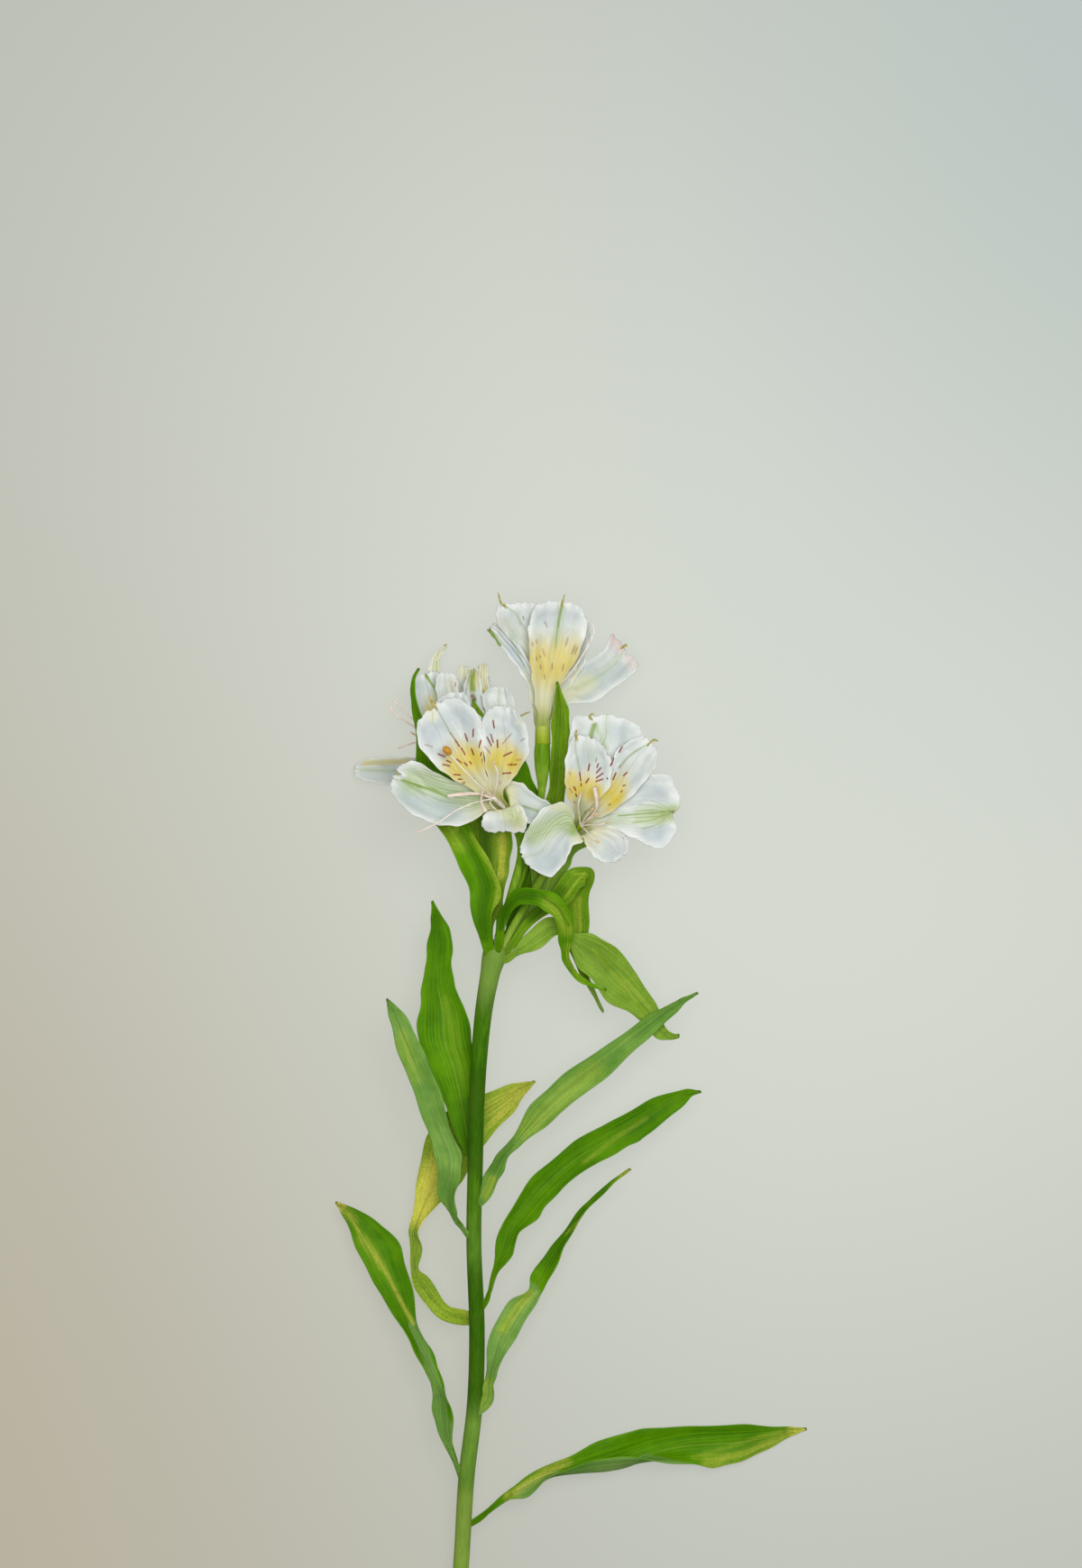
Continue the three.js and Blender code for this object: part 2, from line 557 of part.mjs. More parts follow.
        [-22, 67.5, -22.5, 72.5, 22, 0, 0.6],
        [-30, 63, -30.5, 71.5, 18, 0, 1.5],
        [-40, 61.6, -40, 71.8, 12, 0, 2],
        [-48, 63, -48, 71, 7, 0, 1.6],
        [-51.5, 65.5, -51.5, 69.2, 5, 0, 0.5, 0.8],
      ],
      inner_left: [
        [-17.2, 71.2, -16, 72, 24.4],
        [-20, 77, -16.5, 78.5, 24.4, 0, 0.4],
        [-25.5, 84, -17.5, 87, 23.4, 0, 1.2],
        [-30, 94, -18.5, 97, 21, 0, 2],
        [-30, 101, -21, 103.5, 20, 0, 1.4, 1],
      ],
      inner_right: [
        [-16.4, 71.8, -15.2, 71.6, 24],
        [-16.6, 78, -13.6, 78, 24.5, 0, 0.6],
        [-19, 87, -12.4, 87, 25, 0, 1.5],
        [-21.5, 96, -13.4, 96, 25, 0, 1.6],
        [-21.5, 102.6, -14.2, 102, 24.5, 0, 1, 0.8],
      ],
      outer_top: [
        [-16.6, 71.2, -15.4, 72, 23],
        [-19, 79, -15.6, 79.6, 18.4, 0, 0.4],
        [-22.4, 92, -17.6, 93, 16.5, 0, 0.8],
        [-24.6, 103, -20.5, 103.5, 15.8, 0, 0.6],
        [-22.5, 109.5, -19.5, 110.5, 15.5, 0, 0.3],
        [-18.6, 112.8, -17.8, 112.4, 15.5],
      ],
      inner_low: [
        [-16.8, 71.8, -16, 70.6, 23.2],
        [-21, 69, -17, 65, 17, 0, 0.5],
        [-26, 68, -20, 60, 11, 0, 1],
        [-31, 66, -24, 56, 5, 0, 1],
        [-34, 63, -28, 57, 0.85, 0, 0.3, 1],
      ],
      outer_low: [
        [-17.2, 71.4, -16.2, 72.2, 22.8],
        [-22, 73, -18, 76, 18, 0, 0.5],
        [-27, 77, -21, 83, 12, 0, 1.5],
        [-28.5, 82, -19, 88, 6, 0, 1.2],
        [-27.5, 88, -20, 92, 1.6, 0, 0.6, 1],
      ],
    },
    stamens: [
      [[-18.2, 75, 22.6, 0.8], [-21.5, 79.5, 19.8, 0.8]],
      [
        [-21, 79, 20.2, 0.4],
        [-26.5, 83, 19.5, 0.35],
        [-31.5, 87, 19.5, 0.35],
        [-36.2, 91.8, 19.5, 0.35], [-37.5, 92.5, 19, 0.35],
      ],
      [
        [-21, 79, 20.2, 0.4],
        [-27, 81.6, 18.4, 0.35],
        [-33, 85.2, 18.2, 0.35],
        [-37.8, 88.8, 18.2, 0.35],
        [-38.2, 91.4, 18.2, 0.4],
      ],
      [
        [-21, 79, 20.2, 0.4],
        [-25.5, 80, 17.5, 0.35],
        [-28.6, 79.6, 17, 0.7],
        [-31.2, 81.2, 17, 0.6],
      ],
      [[-21, 79, 20.2, 0.4], [-25, 78, 17, 0.35], [-30, 77, 16.4, 0.35], [-35.6, 75, 16, 0.4]],
    ],
  },
  back: {
    stalk: [
      [0.9, 3, 35.2, 1.1],
      [1.9, 9.5, 30.4, 1.2],
      [1.8, 20, 25.2, 1.4],
      [1, 34, 21.2, 1.4],
      [-0.4, 48, 19.8, 1.5],
      [-1.4, 59, 20.2, 2.7],
      [-2, 66, 21, 3],
      [-2.6, 70.6, 21.6, 2.3],
    ],
    heart: [
      [-2.7, 71.4, 21.8, 2.1],
      [-3, 74, 22, 2],
      [-3.2, 76, 22.2, 1.7],
    ],
    petals: {
      outer_top: [
        [-3.6, 72.6, -2.2, 72.6, 23.2],
        [-6.5, 80, -2, 80, 24.4, 0, -0.5],
        [-10.5, 90, -4, 90, 25, 0, -1],
        [-11.5, 97.5, -4.6, 97.5, 24.5, 0, -1],
        [-9.2, 103.3, -6.4, 103.3, 24, 0, -0.3, 0.6],
      ],
      inner_left: [
        [-4.2, 72.6, -3.4, 72.8, 21.6],
        [-8, 80, -4.8, 80.5, 19.6, 0, 0.6],
        [-12, 90, -6, 91, 17.6, 0, 1.2],
        [-13.6, 99, -7.5, 100, 17, 0, 1.2],
        [-13.2, 105.5, -9, 104.5, 16.5, 0, 0.6, 0.4],
      ],
      inner_right: [
        [-2.6, 72.6, -1.4, 72.6, 21.6],
        [-3.4, 81, 0.4, 80.5, 19.2, 0, 0.6],
        [-5.6, 92, 0.5, 91, 17.4, 0, 1.2],
        [-7, 100, -2.5, 99.5, 17, 0, 1],
        [-6, 105.5, -2.6, 106, 16.5, 0, 0.4, 0.5],
      ],
      outer_right: [
        [-2.4, 72.8, -1.4, 72.6, 23],
        [-1.2, 80, 2.8, 79, 25, 0, 0.6],
        [-3.2, 88.5, 6.5, 86, 27, 0, 1.2],
        [-4.5, 94, 7.6, 91, 27.5, 0, 1.4],
        [-2, 97.2, 5.5, 96.8, 27, 0, 1, 1],
      ],
      outer_low: [
        [-3.4, 72.6, -2.2, 72.6, 20.8],
        [-6, 80, -0.5, 80, 16.6, 0, 0.6],
        [-9, 89, 0.5, 89, 12.5, 0, 1.4],
        [-9.5, 97, -0.5, 97, 10, 0, 1.2],
        [-7, 101.5, -2, 101.5, 9.5, 0, 0.5, 0.8],
      ],
      inner_low: [
        [-2.2, 72.6, -1.4, 73, 21.2],
        [-0.4, 80.5, 3.8, 79.5, 17.5, 0, 0.5],
        [1, 88, 7.5, 86.5, 13.5, 0, 1.4],
        [1.5, 93, 7.2, 91, 11.5, 0, 1, 0.8],
      ],
    },
    stamens: [
      [[-3.25, 76.4, 22.2, 0.8], [-4.2, 86, 21.2, 0.8]],
      [[-4.1, 85, 21.3, 0.4], [-6, 91, 21, 0.35], [-7, 95, 21, 0.8]],
      [[-4.1, 85, 21.3, 0.4], [-3, 91, 21, 0.35], [-2, 95.5, 21, 0.8]],
      [[-4.1, 85, 21.3, 0.4], [-4.6, 92, 20.6, 0.35], [-5, 98, 20.4, 0.8]],
    ],
  },
};

// ---------------------------------------------------------------- curves, limbs and blades

const curve = (points) => new THREE.CatmullRomCurve3(points, false, "catmullrom", 0.5);
const vector = ([x, y, z]) => new THREE.Vector3(x, y, z);

// A three.js geometry as a manifold-3d solid, its shared vertices merged.
function solid(geometry) {
  const bare = new THREE.BufferGeometry();
  bare.setAttribute("position", geometry.getAttribute("position"));
  bare.setIndex(geometry.getIndex());
  const merged = mergeVertices(bare, WELD);
  return new wasm.Manifold(
    new wasm.Mesh({
      numProp: 3,
      vertProperties: new Float32Array(merged.attributes.position.array),
      triVerts: new Uint32Array(merged.index.array),
    }),
  );
}

// A manifold-3d solid as a named mesh.
function meshOf(name, body, material) {
  const { numProp, vertProperties, triVerts } = body.getMesh();
  const positions = [];
  for (let i = 0; i < vertProperties.length; i += numProp) {
    positions.push(vertProperties[i], vertProperties[i + 1], vertProperties[i + 2]);
  }
  const geometry = new THREE.BufferGeometry();
  geometry.setAttribute("position", new THREE.Float32BufferAttribute(positions, 3));
  geometry.setIndex(new THREE.BufferAttribute(new Uint32Array(triVerts), 1));
  geometry.computeVertexNormals();
  const mesh = new THREE.Mesh(geometry, material);
  mesh.name = name;
  return mesh;
}

// The largest connected body of a solid: trimming a root can leave a sliver on the stem's far side.
const largest = (body) =>
  body.decompose().reduce((best, part) => (part.volume() > best.volume() ? part : best));

// A limb, its radius grown by extra. Its cross-section is carried along the line without twisting.
function limb(stations, { sides, perSpan }, extra = 0) {
  const steps = (stations.length - 1) * perSpan;
  const line = curve(stations.map(vector));
  const radius = curve(stations.map((s) => new THREE.Vector3(s[3], 0, 0)));
  const frames = [];
  let side = new THREE.Vector3(0, 0, 1);
  for (let k = 0; k <= steps; k++) {
    const tangent = line.getTangent(k / steps);
    side = side.clone().addScaledVector(tangent, -side.dot(tangent)).normalize();
    frames.push({
      point: line.getPoint(k / steps),
      side,
      other: new THREE.Vector3().crossVectors(side, tangent),
      radius: radius.getPoint(k / steps).x + extra,
    });
  }
  const geometry = new THREE.CylinderGeometry(1, 1, 1, sides, steps, false, Math.PI / sides);
  const place = geometry.getAttribute("position");
  for (let i = 0; i < place.count; i++) {
    const frame = frames[Math.round((0.5 + place.getY(i)) * steps)];
    const point = frame.point
      .clone()
      .addScaledVector(frame.side, place.getX(i) * frame.radius)
      .addScaledVector(frame.other, place.getZ(i) * frame.radius);
    place.setXYZ(i, point.x, point.y, point.z);
  }
  return solid(geometry);
}

// The mid surface of a blade: a function of u, root to tip, and v, -1 at the left edge to 1 at the right one.
function bladeSurface(ribs) {
  const edge = (pick) => curve(ribs.map((rib) => new THREE.Vector3(...pick(rib))));
  const left = edge(([x, y, , , z, tilt = 0]) => [x, y, z - tilt / 2]);
  const right = edge(([, , x, y, z, tilt = 0]) => [x, y, z + tilt / 2]);
  const bend = edge(([, , , , , , cup = 0, bow = 0]) => [cup, bow, 0]);
  return (u, v) => {
    const [a, b] = [left.getPoint(u), right.getPoint(u)];
    const ahead = left.getTangent(u).add(right.getTangent(u)).normalize();
    const down = new THREE.Vector3().crossVectors(ahead, b.clone().sub(a)).normalize();
    const { x: cup, y: bow } = bend.getPoint(u);
    const hump = 1 - v * v;
    return a.lerp(b, (1 + v) / 2).addScaledVector(down, cup * hump).addScaledVector(ahead, bow * hump);
  };
}

// A closed blade: both faces stand off the mid surface by half its thickness, which thins from the
// midrib to the edges.
function blade(ribs, { midrib, edge, across, perSpan }) {
  const surface = bladeSurface(ribs);
  const along = Math.round((ribs.length - 1) * perSpan);
  const columns = across + 1;
  const front = [];
  const back = [];
  for (let j = 0; j <= along; j++) {
    for (let i = 0; i <= across; i++) {
      const [u, v] = [j / along, (2 * i) / across - 1];
      const ahead = surface(Math.min(u + DIFFERENCE, 1), v).sub(surface(Math.max(u - DIFFERENCE, 0), v));
      const aside = surface(u, v + DIFFERENCE).sub(surface(u, v - DIFFERENCE));
      const normal = aside.cross(ahead).normalize();
      const reach = THREE.MathUtils.lerp(midrib, edge, Math.abs(v)) / 2;
      front.push(...surface(u, v).addScaledVector(normal, reach));
      back.push(...surface(u, v).addScaledVector(normal, -reach));
    }
  }
  const far = front.length / 3;
  const index = [];
  for (let j = 0; j < along; j++) {
    for (let i = 0; i < across; i++) {
      const a = j * columns + i;
      const [b, c, d] = [a + 1, a + columns + 1, a + columns];
      index.push(a, b, c, a, c, d, far + a, far + c, far + b, far + a, far + d, far + c);
    }
  }
  const wall = (p, q) => index.push(p, far + p, far + q, p, far + q, q);
  for (let i = 0; i < across; i++) {
    wall(i, i + 1);
    wall(along * columns + i + 1, along * columns + i);
  }
  for (let j = 0; j < along; j++) {
    wall((j + 1) * columns, j * columns);
    wall(j * columns + across, (j + 1) * columns + across);
  }
  const geometry = new THREE.BufferGeometry();
  geometry.setAttribute("position", new THREE.Float32BufferAttribute([...front, ...back], 3));
  geometry.setIndex(index);
  return solid(geometry);
}

// ---------------------------------------------------------------- assembly

const material = (color, roughness) => new THREE.MeshStandardMaterial({ color, roughness, metalness: 0 });
const LEAF_GREEN = material(0x4f8a1e, 0.5);
const STEM_GREEN = material(0x5b8f35, 0.5);
const PETAL_WHITE = material(0xe9edea, 0.45);
const STAMEN_PEACH = material(0xe7b49a, 0.55);

const flower = new THREE.Group();
const stemClearance = limb(STEM, STEM_GRID, GAP);
flower.add(meshOf("stem", limb(STEM, STEM_GRID), STEM_GREEN));
for (const [name, ribs] of Object.entries({ ...LEAVES, ...BRACTS })) {
  flower.add(meshOf(name, largest(blade(ribs, LEAF).subtract(stemClearance)), LEAF_GREEN));
}
for (const [name, { stalk, heart, petals, stamens }] of Object.entries(BLOOMS)) {
  const stalkBody = limb(stalk, STALK_GRID).subtract(stemClearance).subtract(limb(heart, STALK_GRID, GAP));
  const petalBody = Object.values(petals).reduce(
    (body, ribs) => body.add(blade(ribs, PETAL)),
    limb(heart, STALK_GRID),
  );
  const stamenBody = stamens.map((stations) => limb(stations, STAMEN_GRID)).reduce((a, b) => a.add(b));
  flower.add(meshOf(`stalk_${name}`, largest(stalkBody), STEM_GREEN));
  flower.add(meshOf(`petals_${name}`, petalBody, PETAL_WHITE));
  flower.add(meshOf(`stamens_${name}`, stamenBody, STAMEN_PEACH));
}

// The origin is the middle of the surface that the whole flower covers.
const extent = new THREE.Box3().setFromObject(flower, true);
const middle = extent.getCenter(new THREE.Vector3());
flower.position.set(-middle.x, -middle.y, -extent.min.z);

const group = new THREE.Group();
group.add(flower);
group.updateMatrixWorld(true);
export default group;
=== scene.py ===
"""A cut stem of white alstroemeria lying on its side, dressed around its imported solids.

The tables are in millimetres: x to the right, y along the stem from the crown under the flower head,
z up from the surface. Blender's own units are metres.
"""

import math

import bmesh
import bpy
from mathutils import Matrix, Vector, noise


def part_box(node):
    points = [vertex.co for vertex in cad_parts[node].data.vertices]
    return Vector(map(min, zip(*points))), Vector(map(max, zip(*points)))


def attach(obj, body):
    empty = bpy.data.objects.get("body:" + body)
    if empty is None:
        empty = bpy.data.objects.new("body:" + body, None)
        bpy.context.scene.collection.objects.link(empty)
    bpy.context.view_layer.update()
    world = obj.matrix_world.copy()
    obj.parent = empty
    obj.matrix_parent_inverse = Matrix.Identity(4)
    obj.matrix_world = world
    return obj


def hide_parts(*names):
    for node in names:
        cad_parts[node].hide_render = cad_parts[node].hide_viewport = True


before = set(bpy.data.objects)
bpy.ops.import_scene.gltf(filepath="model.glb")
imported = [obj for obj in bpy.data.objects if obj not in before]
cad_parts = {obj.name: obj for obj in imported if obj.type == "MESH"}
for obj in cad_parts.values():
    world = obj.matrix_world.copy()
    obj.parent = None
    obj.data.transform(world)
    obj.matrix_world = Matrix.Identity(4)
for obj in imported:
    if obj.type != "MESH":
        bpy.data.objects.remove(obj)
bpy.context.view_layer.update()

MM = 0.001

# ---------------------------------------------------------------- shapes: blades and limbs
#
# A blade is a row of ribs from root to tip: [left x, left y, right x, right y, height, tilt, cup, bow].
# left and right are its edges, seen from above by someone who looks from root to tip. height is the
# middle of the chord between them, tilt how much higher the right edge is, cup how deep the middle
# hangs below the chord, and bow how far it runs ahead of the chord. A limb is a round body along
# stations [x, y, z, radius].

STEM = [
    [-17.4, -318, 2.9, 3.0], [-16.7, -304, 2.9, 3.0], [-16.1, -290, 2.95, 3.0],
    [-15.3, -274, 3.3, 3.0], [-14.0, -252, 6.2, 3.0], [-12.0, -223, 11.5, 2.95],
    [-10.3, -195, 15.0, 3.0], [-7.2, -168, 18.6, 2.95], [-6.4, -140, 22.4, 2.9],
    [-7.5, -108, 26.5, 2.8], [-7.0, -80, 29.8, 2.85], [-6.2, -50, 33.2, 2.95],
    [-4.2, -25, 35.8, 3.15], [-1.6, -9, 37.4, 3.6], [0.2, -1, 38.0, 4.4], [1.2, 4, 38.3, 2.4],
]

LEAVES = {
    "leaf_low_right": [
        [-10.5, -212.5, -9.5, -214.5, 12.5], [-3, -207.2, -2, -208.8, 14, 0, 0.2],
        [4.4, -200.8, 5.8, -203.6, 15, 1, 0.5], [10, -196, 12.9, -201.5, 15.5, 2, 1],
        [19, -191.5, 20, -195.4, 15.5, 3, 2.4], [29, -186.8, 30.5, -190.7, 15, 6, 6],
        [40, -181.9, 41, -188, 14, 9, 9.5], [50, -178.9, 51, -187.8, 13, 9, 10],
        [60, -177.4, 61, -189.2, 11, 7, 7], [75, -176.3, 74, -190.6, 8.5, 2, 3.5],
        [90, -176.2, 87, -190, 6, 0, 2.2], [101, -176.6, 99.5, -185.8, 3.8, 0, 1.2],
        [109.5, -177.2, 108.5, -181.3, 1.9, 0, 0.5], [115.8, -177.6, 115.4, -178.4, 0.6],
    ],
    "leaf_low_left": [
        [-12.9, -196.5, -11.4, -197.5, 15], [-15.4, -189.5, -13.2, -190, 17, 0, 0.2],
        [-20, -180, -15.6, -181.5, 18.5, 1, 1], [-23.2, -171.5, -16, -171.5, 19, 2, 1.5],
        [-22.4, -164.5, -18, -164.5, 19.5, 3, 1], [-25, -157, -20.2, -155.5, 18, -3, 1],
        [-29, -149, -23.5, -148, 16.5, -4, 1.5], [-34, -140, -28.3, -139, 15.5, -2, 1.5],
        [-40.5, -129.8, -30.3, -128, 14, 0, 2], [-46, -121.5, -32.8, -117, 13, 0, 2],
        [-50.5, -112, -36, -107.8, 11.5, 0, 1.8], [-54, -103.5, -43, -101.6, 10, 0, 1.2],
        [-56.8, -97.5, -51, -96.3, 9, 0, 0.5], [-58.8, -94, -58.2, -93.6, 8],
    ],
    "leaf_mid_right": [
        [-7.5, -171, -5.5, -172.5, 20], [-4.6, -165, -0.2, -166, 21.5, 1, 0.6],
        [-3.8, -159.5, -0.2, -160, 23, 1, 0.6], [-2.8, -153, 1.4, -154, 24, 1, 0.8],
        [-1.2, -141.5, 7, -144.5, 24.5, 0, 1.5], [4.5, -131, 13.2, -134, 24, 0, 1.5],
        [12, -126, 18, -126, 23.5, -2, 1], [14.2, -119.5, 21.5, -119, 23, 3, 1.5],
        [20, -110.5, 25.2, -110.5, 22, 3, 1.5], [27, -101.8, 29.8, -102.4, 21, 3, 1],
        [34.5, -92.8, 35.6, -94, 20, 1, 0.4], [43, -85.6, 43.8, -86.2, 19],
        [49.8, -80.8, 50.2, -81.4, 18],
    ],
    "leaf_back_yellow": [
        [-6, -139, -6, -134.5, 20.5], [-15, -138.5, -15, -132.5, 15, -1, 0.6],
        [-22, -134.8, -19.5, -128.6, 13, -1, 0.6], [-28, -128, -24.8, -121.5, 12.5, -2, 0.8],
        [-30.6, -119, -28.3, -117.5, 12.5, -3, 0.6], [-31.4, -110, -26.7, -110.5, 12.5, 2, 0.6],
        [-31, -103, -28.3, -104, 13, 3, 0.8], [-29.6, -93, -22.5, -96, 13.5, 2, 1.2],
        [-27.5, -80, -13.5, -86.5, 14, 1, 1.8], [-24.5, -67, -7.5, -77.5, 14, 0, 2],
        [-15, -57.5, -1, -68, 14, 0, 1.8], [-3.5, -52.8, 5.5, -61, 13.5, 0, 1.2],
        [6, -49.6, 10.2, -54.6, 13, 0, 0.6], [14.4, -48.4, 14.8, -49, 12.5],
    ],
    "leaf_mid_left": [
        [-9.5, -107, -7.5, -108, 27.5], [-12.8, -102.3, -11.4, -101.2, 30, 0, 0.2],
        [-16, -97.8, -14, -97.4, 32, 1, 0.4], [-20, -91, -14.8, -91, 33, 1, 1],
        [-21, -83.5, -12.4, -82.5, 33.5, 0, 1.6], [-21.4, -75.5, -12.4, -74.5, 34, 0, 1.8],
        [-25, -65, -16.4, -65, 34, 0, 1.6], [-29.4, -52.5, -20.4, -51.5, 33.5, 0, 1.6],
        [-33.6, -43, -24.8, -39.8, 32.5, 0, 1.4], [-36.8, -33, -29.4, -31, 31.5, 0, 1],
        [-38.8, -24.5, -34.4, -22.4, 30, 0, 0.5], [-39.8, -18.2, -39.2, -17.9, 29],
    ],
    "leaf_high_left": [
        [-8.5, -79, -5.5, -79, 28], [-12.6, -71.5, -6, -71, 25, 0, 0.8],
        [-18.2, -58, -5.4, -58, 23.5, 0, 1.6], [-23.5, -44, -6, -44, 23.5, 0, 2],
        [-28, -33, -8.2, -34, 24, 0, 2.2], [-27.5, -22, -10.5, -22, 24, 0, 2],
        [-26.6, -13, -15, -12.5, 24, 0, 1.5], [-25.6, -4.5, -15.8, -4.5, 24, 1, 1.5],
        [-24.6, 3.5, -15.8, 3.5, 24.5, 1, 1.2], [-23.5, 10.5, -18.2, 10.5, 24.5, 0, 0.8],
        [-23.1, 18, -22.5, 18, 24.5],
    ],
    "leaf_mid_right_long": [
        [-5.5, -132, -4, -133.5, 24], [-2.3, -125.5, -1, -126, 27, 0, 0.2],
        [-0.7, -118.5, 1.6, -118.5, 29, 1, 0.4], [0.4, -110.5, 5.6, -112.5, 30, 1, 1],
        [3.2, -101, 10.5, -103, 30.5, 1, 1.8], [10, -89.5, 18.8, -94, 30, 0, 2.2],
        [19, -79.3, 27.5, -85.8, 29, 0, 2.2], [30.5, -70.2, 38, -78.2, 27.5, 0, 2.2],
        [42, -63.4, 48.5, -72.5, 26, 0, 2], [53.5, -57.2, 57.5, -67, 24.5, 0, 1.6],
        [63, -52.9, 66.8, -59.5, 22.5, 0, 1], [71, -51.3, 72.6, -54, 21, 0, 0.4],
        [76, -51.8, 76, -52.5, 20],
    ],
    "leaf_high_right": [
        [-6.5, -93, -5, -95, 30], [-4.8, -86.5, 0.4, -87.5, 32.5, 1, 0.5],
        [-2.6, -80.5, 2.6, -81.5, 34.5, 1, 0.6], [0.8, -75.8, 5, -76.2, 35.5, 1, 0.6],
        [6.5, -68.8, 10, -71.2, 36, 1, 1], [13.2, -58, 19.5, -64, 36.5, 0, 1.6],
        [22.5, -48.2, 30.5, -54.8, 36, 0, 1.8], [36, -38.4, 43, -44.6, 35, 0, 1.6],
        [49, -29.2, 54.5, -34.3, 33, 0, 1.2], [60, -22, 63.5, -25.8, 31, 0, 0.8],
        [68.5, -17.8, 69.6, -19.6, 30, 0, 0.3], [74.6, -15.4, 75, -15.9, 29],
    ],
}

